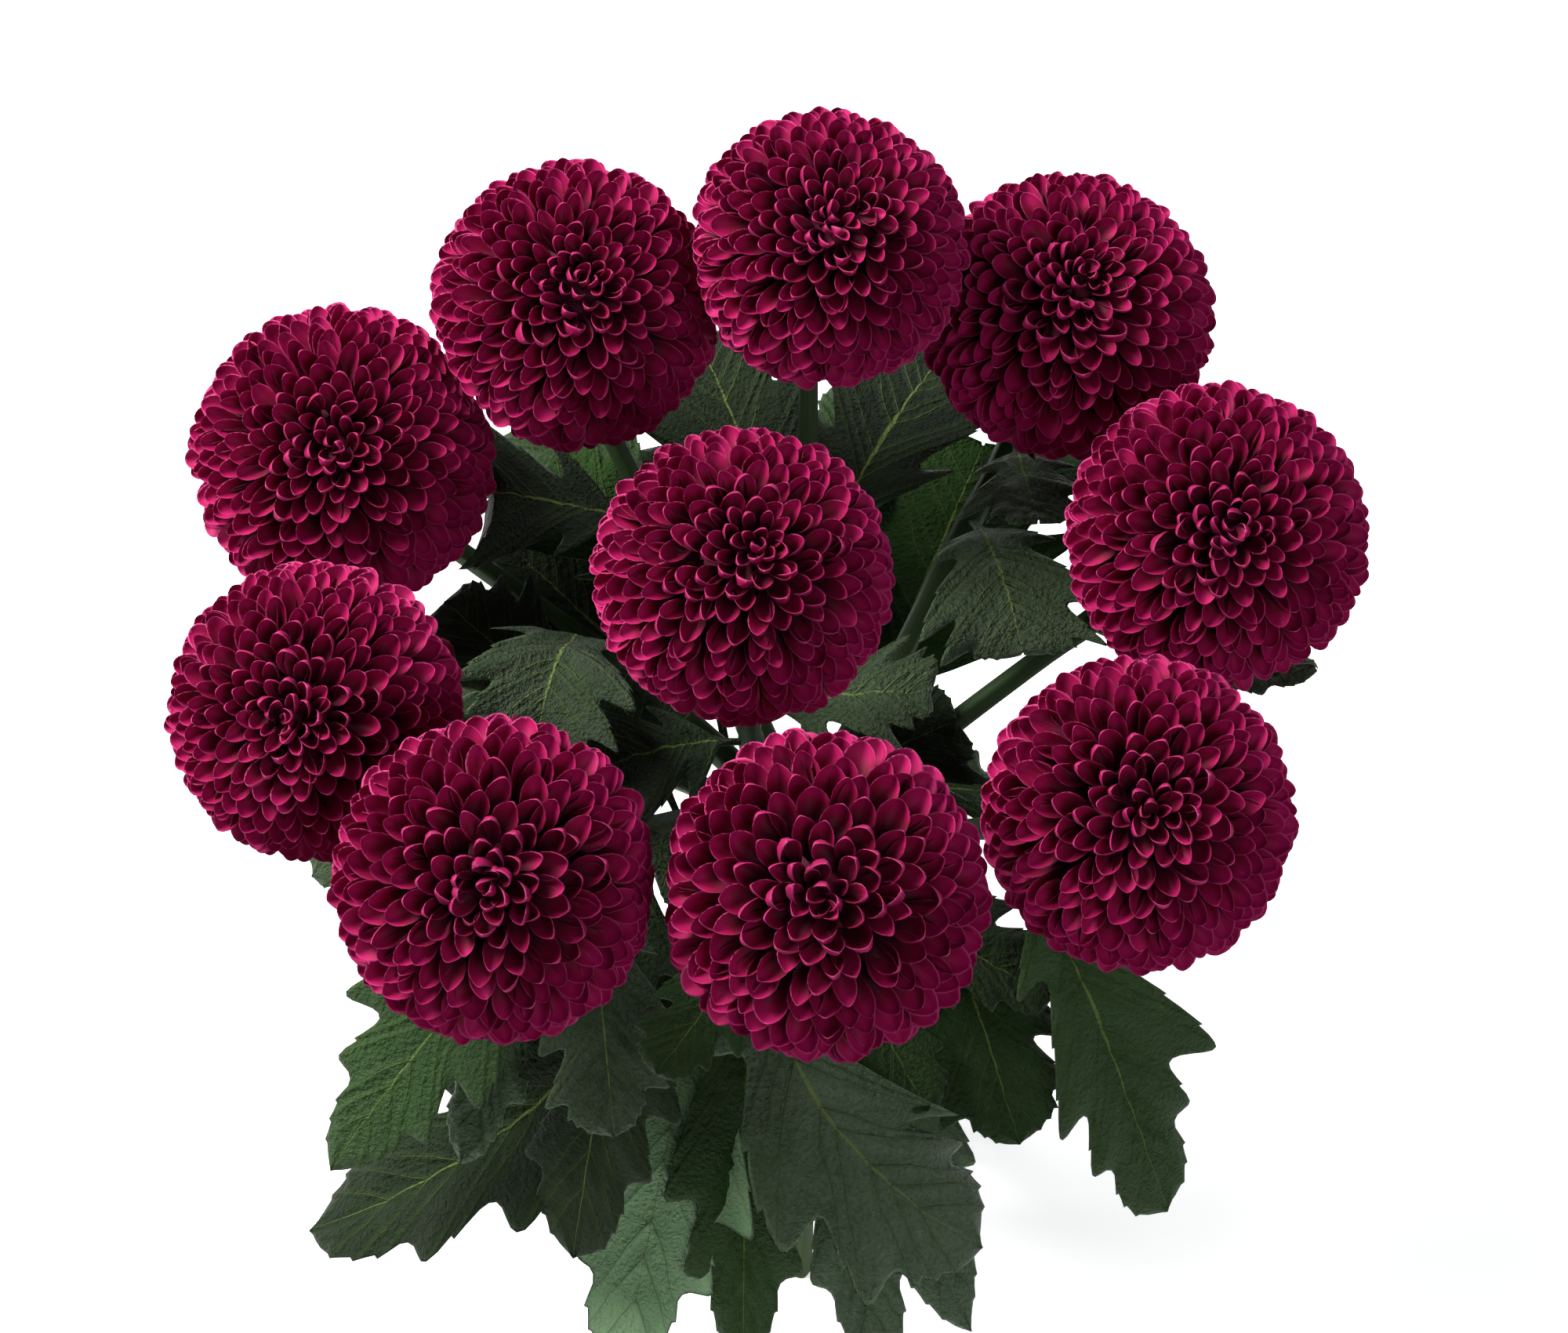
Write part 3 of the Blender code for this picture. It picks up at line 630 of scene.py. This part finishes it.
def stem_surface(name):
    """A stem as a profile carried along its line: a ring of radius r(1 + 0.05 cos 5a), which swells at
    each leaf joint by a bell curve, then the calyx that opens to the seat. The cut end is level."""
    line = stem_curve(name)
    ahead = tangents(line)
    ahead[-1] = head_axis(name)
    radii = stem_radius(line[:, 2])
    for stem, height, *_ in LEAVES:
        if stem == name:
            past_joint = (line[:, 2] - height * MM) / JOINT_LENGTH
            radii = radii * (1 + JOINT_SWELL * np.exp(-(past_joint**2)))
    flare = np.interp(CALYX_SHARES, CALYX_PLACES, CALYX_RADII) * MM
    line = np.vstack([line, line[-1] + head_axis(name) * CALYX_DEPTH * CALYX_SHARES[:, None]])
    ahead = np.vstack([ahead, np.tile(head_axis(name), (len(flare), 1))])
    radii = np.append(radii, flare)
    # the ring's start is carried along the line with no twist
    side = np.zeros_like(line)
    carried = unit(np.cross((0.0, 1.0, 0.0), ahead[0]))
    for number, way in enumerate(ahead):
        carried = unit(carried - way * (carried @ way))
        side[number] = carried
    over = np.cross(ahead, side)
    turn = np.linspace(0, math.tau, STEM_AROUND, endpoint=False)
    ridge = 1 + RIDGE * np.cos(STEM_RIDGES * turn)
    ring = side[:, None] * np.cos(turn)[:, None] + over[:, None] * np.sin(turn)[:, None]
    points = line[:, None] + ring * (radii[:, None] * ridge)[..., None]
    drop = points[0, :, 2] / ahead[0, 2]
    points[0] = points[0] - ahead[0] * drop[:, None]
    foot = points[0].mean(axis=0)
    rim = foot + (points[0] - foot) * CUT_EDGE
    points[1] = points[0] + (points[1] - points[0]) * CUT_BEVEL
    hollow = foot + (points[0] - foot) * HOLLOW_WIDTH + np.array([0, 0, HOLLOW_HEIGHT])
    centre = np.tile(foot + np.array([0, 0, HOLLOW_MIDDLE]), (STEM_AROUND, 1))
    top = np.tile(line[-1], (STEM_AROUND, 1))
    points = np.concatenate([centre[None], hollow[None], rim[None], points, top[None]])
    rows = len(points)
    cut = np.zeros(rows)
    cut[: len(CUT_LOOK)] = CUT_LOOK
    high = np.concatenate([[0, 0, 0], line[:, 2], line[-1:, 2]]) / MM
    facts = triples((rows, STEM_AROUND), cut[:, None], high[:, None], turn * STREAKS_ROUND)
    return points.reshape(-1, 3), closed_faces(rows, STEM_AROUND), {"stem": facts}


def bract_surface(name):
    """The overlapping scales that clasp the calyx, each a thin pointed shell on a cone: two rows of
    nine, the outer row shorter and half a step round. At a share v of its length a scale is as wide
    as a power of the sine of pi(0.16 + 0.84 v), and it is thickest down its middle."""
    axis = head_axis(name)
    side, up = frame_about(axis)
    parts = []
    v = np.linspace(0, 1, 8)[:, None]
    u = np.linspace(-1, 1, 7)[None, :]
    for row, (count, length, out) in enumerate(SCALE_ROWS):
        half = SCALE_HALF_WIDTH * np.sin(math.pi * (0.16 + 0.84 * v)) ** 0.7
        flare = np.interp(length * v, SCALE_HEIGHTS, SCALE_REACHES) * MM
        # the upper part of a scale bends outwards, so it rises less
        lift = np.minimum(length * v, 0.62 * length * v + 3.4) * MM
        for step in range(count):
            spin = math.tau * (step + 0.5 * row) / count + u * half / flare
            tall = np.broadcast_to(lift, spin.shape)
            sheets = []
            for thick in (SCALE_THICK, 0.0):
                reach = flare + out * MM + thick * (1 - u**2)
                sheets.append(np.stack([reach * np.cos(spin), reach * np.sin(spin), tall], axis=-1))
            loop = np.concatenate([sheets[0], sheets[1][:, -2:0:-1]], axis=1)
            placed = neck_point(name) + loop.reshape(-1, 3) @ np.array([side, up, axis])
            # the last number gives each scale its own part of the streaks
            facts = triples(len(placed), 0, SCALE_GREEN, 7 * step + 3 * row)
            parts.append((placed, closed_faces(*loop.shape[:2]), {"stem": facts}))
    return joined(parts)


def stalk(name, finish):
    points, faces, facts = joined([stem_surface(name), bract_surface(name)])
    made = surface("stem_" + name, points, faces, finish, facts)
    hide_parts("leafy_stem_" + name)


# Leaves

def bend_clear_of_heads(points):
    """Points that would enter a head move straight out of it, with a clearance."""
    for name in HEADS:
        away = points - head_centre(name)
        distance = np.linalg.norm(away, axis=-1)
        least = head_radius(name) + LEAF_CLEARANCE
        push = np.maximum(least - distance, 0) / np.maximum(distance, 1e-9)
        points = points + away * push[..., None]
    return points


def leaf_surface(number, stem, height, tip, width, roll, arch, bow, tone):
    """A closed blade on a grid: a share t along the rib and a place u from edge to edge.

    The rib is a quadratic curve from the stem to the tip. From the rib's point at t the surface runs
    sideways by x = u h(t) and ahead by |x| tan(slant) plus a part that grows with x squared, so the
    lobes and teeth of the outline h point forward. It rises from the rib by a share of |x|, droops
    with x squared, bulges between the side veins by tanh of the distance to the nearest, and waves
    along the edge by sums of sines.
    """
    chance = np.random.RandomState(500 + number)
    root = point_on_stem(stem, height * MM)
    tip = np.array(tip, float) * MM
    chord = tip - root
    reach = np.linalg.norm(chord)
    left = unit(np.array([-chord[1], chord[0], 0]))
    control = root + 0.5 * chord + reach * 2 * (left * bow + np.array([0, 0, arch]))
    share = np.array([place for place, _ in LEAF_EDGE])
    t = share[:, None]
    rib = (1 - t) ** 2 * root + 2 * t * (1 - t) * control + t**2 * tip
    ahead = tangents(rib)
    over = np.array([0.0, 0.0, 1.0]) - ahead * ahead[:, 2:3]
    over /= np.linalg.norm(over, axis=1)[:, None]
    across = np.cross(ahead, over)
    turn = math.radians(roll)
    over, across = (
        over * math.cos(turn) + across * math.sin(turn),
        across * math.cos(turn) - over * math.sin(turn),
    )
    blade = smooth(STALK_END, BLADE_START, share)[:, None]
    size = width / 2 * MM
    half = np.array([reaches for _, reaches in LEAF_EDGE])[:, None] * size
    u = LEAF_ACROSS[None, :]
    (
        left_slow, left_quick, right_slow, right_quick, folding, slow_wave, quick_wave, rumple_along,
        rumple_across,
    ) = chance.uniform(0, math.tau, 9)
    lobes = np.where(
        u < 0,
        1 + 0.10 * np.sin(7 * t + left_slow) + 0.07 * np.sin(17 * t + left_quick),
        1 + 0.10 * np.sin(7 * t + right_slow) + 0.07 * np.sin(17 * t + right_quick),
    )
    x = u * half * (1 + (lobes - 1) * blade)
    forward = np.abs(x) * math.tan(VEIN_SLANT) + LOBE_FORWARD * x**2 / size
    fold = LOBE_RISE + 0.10 * np.sin(5 * t + folding)
    rise = fold * np.abs(x) - LOBE_DROOP * x**2 / size
    wave = np.sin(11 * t + slow_wave + 2.4 * u) + 0.6 * np.sin(23 * t + quick_wave - 1.5 * u)
    rise = rise + blade * EDGE_WAVE * size * wave * (x / size) ** 2 / (0.2 + (x / size) ** 2)
    rumple = np.sin(31 * t + rumple_along + 5 * u) * np.sin(7 * u + rumple_across + 9 * t)
    rise = rise + blade * RUMPLE * rumple * (1 - u**4)
    veins = leaf_vein_gap(t, u) * reach / MM
    rise = rise + blade * VEIN_RELIEF * np.tanh(veins / VEIN_ROUNDING) * (1 - np.abs(u) ** 3)
    rise = rise - blade * EDGE_DROP * np.abs(u) ** 6
    middle = rib[:, None] + across[:, None] * x[..., None] + ahead[:, None] * forward[..., None]
    middle = middle + over[:, None] * rise[..., None]
    middle = bend_clear_of_heads(middle)
    stalk_thick = (1 - blade) * STALK_THICK * np.sqrt(np.clip(1 - u**2, 0, 1))
    rib_thick = blade * RIB_THICK * np.exp(-((x / RIB_HALF_WIDTH) ** 2)) * (1 - 0.7 * t)
    thick = BLADE_THICK * (1 - u**6) + stalk_thick + rib_thick
    top = middle + over[:, None] * (thick * 0.5)[..., None]
    bottom = middle - over[:, None] * thick[..., None]
    loop = np.concatenate([top, bottom[:, -2:0:-1]], axis=1)
    around = loop.shape[1]
    us = np.concatenate([LEAF_ACROSS, LEAF_ACROSS[-2:0:-1]])
    under = np.concatenate([np.zeros(len(LEAF_ACROSS)), np.ones(len(LEAF_ACROSS) - 2)])
    under[[0, len(LEAF_ACROSS) - 1]] = 0.3
    rows = len(share)
    facts = {
        "blade": triples((rows, around), t, us, reach / MM),
        "tone": triples((rows, around), under, *LEAF_FINISHES[tone]),
    }
    faces = ring_faces(rows, around)[:, ::-1]
    # a quad of the lower face starts one corner on, so both faces split along the same diagonal
    lower = np.tile(np.arange(around) >= len(LEAF_ACROSS) - 1, rows - 1)
    faces = np.where(lower[:, None], np.roll(faces, 1, axis=1), faces)
    return loop.reshape(-1, 3), closed_ends(faces, rows, len(LEAF_ACROSS), around), facts


def closed_ends(faces, rows, wide, around):
    """The faces with the strips that close both ends of a wrapped grid, whose ring is an upper row and
    a lower row."""
    upper = np.arange(wide)
    lower = np.concatenate([[0], np.arange(around - 1, wide - 1, -1), [wide - 1]])
    strips = []
    for start, flip in ((0, False), ((rows - 1) * around, True)):
        quads = np.stack([upper[:-1], upper[1:], lower[1:], lower[:-1]], axis=-1) + start
        strips.append(quads[:, ::-1] if flip else quads)
    return triangles_last(np.concatenate([faces, *strips]))


def leaf_vein_gap(t, u):
    """Distance to the nearest side vein as a share of the leaf's length."""
    gaps = [np.abs(t - start - slant * np.abs(u)) for start, slant in SIDE_VEINS]
    return np.minimum.reduce(gaps)


def foliage(name, finish):
    parts = []
    for number, (stem, *leaf) in enumerate(LEAVES):
        if stem == name:
            parts.append(leaf_surface(number, stem, *leaf))
    points, faces, facts = joined(parts)
    surface("leaves_" + name, points, faces, finish, facts)


# Tie

def waist_clearance(height):
    lean = SPLAY / TIE_HEIGHT
    return np.hypot(WAIST_RADIUS, height * lean) + STEM_RADIUS_TIE * math.hypot(1, lean * STEM_OVAL)


def wound_twine(finish):
    """Twine as a section carried along a helix: its radius swells three times round the section, and
    the swell turns as it goes, so the strands look laid. Both ends taper."""
    along = np.linspace(0, 1, TWINE_STEPS)
    turn = along * (TWINE_TURNS - 0.5) * math.tau
    half = TWINE_TURNS * TWINE / 2
    height = -half + TWINE / 2 + along * (2 * half - TWINE)
    reach = waist_clearance(height) + 2 * GAP + TWINE * 0.5
    line = np.stack([reach * np.cos(turn), reach * np.sin(turn), TIE_HEIGHT + height], axis=-1)
    ahead = tangents(line)
    out = np.stack([np.cos(turn), np.sin(turn), np.zeros(TWINE_STEPS)], axis=-1)
    out = out - ahead * (out * ahead).sum(1)[:, None]
    out /= np.linalg.norm(out, axis=1)[:, None]
    over = np.cross(ahead, out)
    section = np.linspace(0, math.tau, TWINE_AROUND, endpoint=False)
    lay = STRANDS * (section[None, :] + turn[:, None] * STRAND_TURN)
    taper = np.minimum(smooth(0, TWINE_TAPER, along), smooth(1, 1 - TWINE_TAPER, along))
    radius = TWINE * 0.5 * (1 - STRAND_RELIEF + STRAND_RELIEF * np.cos(lay))
    radius = radius * (TWINE_END + (1 - TWINE_END) * taper[:, None])
    points = line[:, None] + radius[..., None] * (
        out[:, None] * np.cos(section)[:, None] + over[:, None] * np.sin(section)[:, None]
    )
    faces = closed_faces(*lay.shape)
    facts = {"lay": triples(lay.shape, lay, turn[:, None] * FIBRE_SCALE, section)}
    made = surface("wound_twine", points.reshape(-1, 3), faces, finish, facts)
    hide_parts("twine_tie")


# Finishes

class Wire:
    """An output socket. Its sums, differences, products and quotients add Math nodes."""

    def __init__(self, finish, socket):
        self.finish = finish
        self.socket = socket

    def math(self, operation, *values):
        sockets = dict(enumerate(values))
        return self.finish.node("ShaderNodeMath", {"operation": operation}, sockets)

    def __add__(self, other):
        return self.math("ADD", self, other)

    def __radd__(self, other):
        return self.math("ADD", other, self)

    def __sub__(self, other):
        return self.math("SUBTRACT", self, other)

    def __rsub__(self, other):
        return self.math("SUBTRACT", other, self)

    def __mul__(self, other):
        return self.math("MULTIPLY", self, other)

    def __rmul__(self, other):
        return self.math("MULTIPLY", other, self)

    def __truediv__(self, other):
        return self.math("DIVIDE", self, other)

    def __abs__(self):
        return self.math("ABSOLUTE", self)

    def least(self, other):
        return self.math("MINIMUM", self, other)


class Finish:
    """A material under construction."""

    def __init__(self, name, **constants):
        self.made = bpy.data.materials.new(name)
        self.made.use_nodes = True
        self.tree = self.made.node_tree
        self.shader = self.tree.nodes["Principled BSDF"]
        for socket, value in constants.items():
            self.shader.inputs[socket.replace("_", " ")].default_value = value

    def node(self, kind, settings, sockets, output=0):
        """Adds a node: its settings first, then a value or a link for each of its sockets."""
        made = self.tree.nodes.new(kind)
        for setting, value in settings.items():
            if setting == "stops":
                elements = made.color_ramp.elements
                while len(elements) < len(value):
                    elements.new(1.0)
                for element, (place, colour) in zip(elements, value):
                    element.position = place
                    element.color = colour
            else:
                setattr(made, setting, value)
        for socket, value in sockets.items():
            if isinstance(value, Wire):
                self.tree.links.new(value.socket, made.inputs[socket])
            else:
                made.inputs[socket].default_value = value
        return Wire(self, made.outputs[output])

    def fact(self, name):
        """The three numbers that the mesh keeps under a name."""
        kept = self.node("ShaderNodeAttribute", {"attribute_name": name}, {}, "Vector")
        split = self.node("ShaderNodeSeparateXYZ", {}, {0: kept})
        outputs = split.socket.node.outputs
        return [Wire(self, outputs[k]) for k in range(3)]

    def vector(self, x, y, z):
        return self.node("ShaderNodeCombineXYZ", {}, {0: x, 1: y, 2: z})

    def place(self):
        return self.node("ShaderNodeTexCoord", {}, {}, "Object")

    def noise(self, vector, scale, detail=2.0, roughness=0.5):
        sockets = {"Vector": vector, "Scale": scale, "Detail": detail, "Roughness": roughness}
        return self.node("ShaderNodeTexNoise", {}, sockets)

    def step(self, low, high, value):
        """The smooth step as a node."""
        sockets = {"Value": value, "From Min": low, "From Max": high}
        return self.node("ShaderNodeMapRange", {"interpolation_type": "SMOOTHSTEP"}, sockets)

    def mix(self, share, first, second):
        """A colour between two."""
        sockets = {0: share, 6: first, 7: second}
        return self.node("ShaderNodeMix", {"data_type": "RGBA"}, sockets, 2)

    def bump(self, height, distance, strength):
        sockets = {"Height": height, "Distance": distance, "Strength": strength}
        return self.node("ShaderNodeBump", {}, sockets)

    def feed(self, **wires):
        for socket, wire in wires.items():
            self.tree.links.new(wire.socket, self.shader.inputs[socket.replace("_", " ")])
        return self.made


def colour(red, green, blue):
    return (red, green, blue, 1.0)


def petal_velvet():
    """Crimson velvet: almost black at the root, where the floret's own deeper red carries painted shade
    of the deep cup, magenta towards the tip and on the back, with a painted highlight along the rim and
    faint streaks along the floret."""
    finish = Finish(
        "petal velvet",
        Sheen_Weight=0.05,
        Sheen_Roughness=0.4,
        Sheen_Tint=colour(1.0, 0.32, 0.55),
        Specular_IOR_Level=0.14,
    )
    across, along, lot = finish.fact("spoon")
    rim, back = finish.fact("petal")[:2]
    streak = finish.noise(finish.vector(across * 2.6, along * 0.22, lot), 1.0, 3.0, 0.6)
    cloud = finish.noise(finish.place(), 140.0, 2.0)
    share = along / ALONG_SCALE
    # painted shade: the face darkens to almost black towards the root, the shade of the deep cup, over
    # the floret's own deeper red
    root_red_and_cup_shade = finish.mix(
        finish.step(0.38, 0.86, share), colour(0.030, 0.0005, 0.006), colour(0.200, 0.0008, 0.030)
    )
    face = finish.mix(finish.step(0.66, 0.98, share), root_red_and_cup_shade, colour(0.325, 0.0045, 0.080))
    reverse = finish.mix(
        finish.step(0.3, 0.9, share), colour(0.070, 0.0004, 0.012), colour(0.225, 0.0025, 0.052)
    )
    skin = finish.mix(back, face, reverse)
    worn = finish.mix((streak - 0.45) * 0.30 + (cloud - 0.5) * 0.16, skin, colour(0.36, 0.008, 0.098))
    # painted highlight: a paler pink along the rim, fading out towards the root
    rim_highlight = finish.step(0.42, 1.0, rim) * finish.step(0.52, 0.84, share)
    rim_highlighted = finish.mix(rim_highlight * 0.36, worn, colour(0.60, 0.085, 0.28))
    rough = 0.62 + (streak - 0.5) * 0.25
    height = streak * 0.6 + cloud * 0.4
    return finish.feed(Base_Color=rim_highlighted, Roughness=rough, Normal=finish.bump(height, 0.00018, 0.5))


def leaf_skin():
    """Leaf: deep to bright green over, grey-green under, a waxy grey bloom in patches that is partly
    painted sheen, yellow-green rib and side veins, and a finely puckered, leathery surface."""
    finish = Finish("leaf skin", Specular_IOR_Level=0.17)
    t, u, reach = finish.fact("blade")
    under, green, grey = finish.fact("tone")
    side = abs(u)
    place = finish.place()
    blotch = finish.noise(place, 34.0, 3.0, 0.55)
    pucker = finish.noise(place, 240.0, 2.0, 0.5)
    fine = finish.noise(place, 850.0, 3.0, 0.6)
    gap, *others = [abs(t - start - side * slant) for start, slant in SIDE_VEINS]
    for other in others:
        gap = gap.least(other)
    across_vein = gap * reach
    vein = 1.0 - finish.step(0.10, 0.42, across_vein / (1.10 - side * 0.75))
    beside_vein = 1.0 - finish.step(0.3, 2.6, across_vein)
    rib_width = (1.05 - t) * 0.014 + 0.004
    rib = 1.0 - finish.step(0.45, 1.0, side / rib_width * 0.42)

    deep = finish.mix(green, colour(0.0018, 0.0060, 0.0006), colour(0.017, 0.064, 0.0025))
    patch = finish.mix((blotch - 0.42) * 0.7, deep, colour(0.017, 0.046, 0.005))
    # partly painted sheen: the grey bloom lightens the leaf in patches and fine specks
    bloom = finish.step(0.26, 0.74, blotch * 0.35 + pucker * 0.15 + fine * 0.50)
    waxy = finish.mix(grey * (bloom * 0.7 + 0.3), patch, colour(0.094, 0.136, 0.083))
    pale = finish.mix(blotch, colour(0.130, 0.250, 0.108), colour(0.310, 0.480, 0.275))
    pale = finish.mix(grey, colour(0.010, 0.034, 0.003), pale)
    skin = finish.mix(under, waxy, pale)
    lit = finish.mix(beside_vein * 0.07, skin, colour(0.070, 0.115, 0.028))
    veined = finish.mix(vein * 0.30, lit, colour(0.100, 0.165, 0.035))
    ribbed = finish.mix(rib * 0.58, veined, colour(0.150, 0.215, 0.045))
    edge = finish.step(0.955, 1.0, side) * finish.step(0.2, 0.3, t)
    edged = finish.mix(edge * 0.30, ribbed, colour(0.20, 0.26, 0.16))
    rough = 0.56 - grey * 0.25 + fine * 0.10 + under * 0.2
    height = fine * 1.2 + pucker * 0.9 - vein * 0.5 - beside_vein * 0.3
    return finish.feed(Base_Color=edged, Roughness=rough, Normal=finish.bump(height, 0.0020, 0.95))


def stem_skin():
    """Stem: ribbed green, dark high up with painted shade from inside the bunch and paler low down,
    paler streaks lengthwise, and a pale pith at the cut end.
    """
    finish = Finish("stem skin", Specular_IOR_Level=0.14)
    cut, high, turn = finish.fact("stem")
    streak = finish.noise(finish.vector(turn * 2.0, high * 0.05, 0.0), 1.0, 4.0, 0.65)
    spots = finish.noise(finish.place(), 600.0, 3.0, 0.6)
    # painted shade: the stem darkens high up, where it stands inside the bunch
    upper = finish.step(60.0, 240.0, high)
    paler_below_shaded_above = finish.mix(upper, colour(0.036, 0.062, 0.018), colour(0.010, 0.026, 0.007))
    streaked = finish.mix((streak - 0.35) * 0.9, paler_below_shaded_above, colour(0.060, 0.100, 0.034))
    pith = finish.mix(finish.step(0.6, 0.9, cut), colour(0.30, 0.36, 0.16), colour(0.62, 0.62, 0.42))
    skin = finish.mix(finish.step(0.2, 0.5, cut), streaked, pith)
    rough = 0.48 + spots * 0.2
    height = streak * 0.7 + spots * 0.3
    return finish.feed(Base_Color=skin, Roughness=rough, Normal=finish.bump(height, 0.0003, 0.7))


def twine_fibre():
    """Twine: tan bast with painted shade in the grooves between its strands, and fibres along the lay.
    """
    finish = Finish("twine fibre", Sheen_Weight=0.2)
    lay, along, section = finish.fact("lay")
    fibre = finish.noise(finish.vector(lay * 6.0, along * 0.15, section), 1.0, 4.0, 0.7)
    groove = finish.node("ShaderNodeMath", {"operation": "COSINE"}, {0: lay})
    light = finish.mix(fibre, colour(0.26, 0.17, 0.085), colour(0.60, 0.46, 0.28))
    # painted shade: darker where the grooves between the strands sink
    dark = finish.mix(finish.step(-0.4, -1.0, groove), light, colour(0.12, 0.075, 0.035))
    rough = 0.85 + fibre * 0.1
    height = fibre + groove * 0.5
    return finish.feed(Base_Color=dark, Roughness=rough, Normal=finish.bump(height, 0.0003, 0.9))


def studio():
    """A pale floor just under the cut ends, a broad soft light from the upper left, weaker ones from
    the right in front and behind, and the camera that looks down on the bunch."""
    world = bpy.data.worlds.new("soft room")
    bpy.context.scene.world = world
    world.use_nodes = True
    air = world.node_tree.nodes["Background"]
    air.inputs["Color"].default_value = colour(0.90, 0.95, 1.0)
    air.inputs["Strength"].default_value = 0.20

    paper = Finish("pale floor", Base_Color=colour(0.93, 0.93, 0.93), Roughness=0.9)
    paper.shader.inputs["Emission Color"].default_value = colour(1.0, 1.0, 1.0)
    paper.shader.inputs["Emission Strength"].default_value = 0.45
    bpy.ops.mesh.primitive_plane_add(size=24.0, location=(0, 0, -0.2 * MM))
    floor = bpy.context.object
    floor.name = "floor"
    floor.data.materials.append(paper.made)

    target = np.array([0.0, -0.02, 0.26])
    # name, place, width across, power and tint
    lights = [
        ("key", (-0.85, 0.40, 1.15), 0.70, 51.0, (1.0, 0.98, 0.96)),
        ("fill", (0.5, -0.9, 1.1), 0.5, 4.5, (0.94, 0.97, 1.0)),
        ("back", (0.75, 0.95, 0.8), 0.8, 6.0, (0.98, 0.98, 1.0)),
    ]
    for name, place, size, power, tint in lights:
        light = bpy.data.lights.new(name, "AREA")
        light.size = size
        light.energy = power
        light.color = tint
        lamp = bpy.data.objects.new(name, light)
        lamp.location = place
        aim = target - np.array(place)
        lamp.rotation_euler = (math.acos(-unit(aim)[2]), 0.0, math.atan2(-aim[0], aim[1]))
        bpy.context.scene.collection.objects.link(lamp)

    camera = bpy.data.cameras.new("camera")
    camera.lens = 85
    camera.sensor_width = 36
    camera.clip_start = 0.05
    camera.clip_end = 20
    viewer = bpy.data.objects.new("camera", camera)
    viewer.location = (0.0044, -0.5671, 1.0687)
    viewer.rotation_euler = (math.radians(35), 0.0, 0.0)
    bpy.context.scene.collection.objects.link(viewer)
    bpy.context.scene.camera = viewer


def main():
    velvet = petal_velvet()
    leaf = leaf_skin()
    stem = stem_skin()
    for number, name in enumerate(HEADS):
        pompon(name, number, velvet)
        stalk(name, stem)
        foliage(name, leaf)
    wound_twine(twine_fibre())
    studio()
    bpy.context.scene.view_settings.view_transform = "Standard"


main()
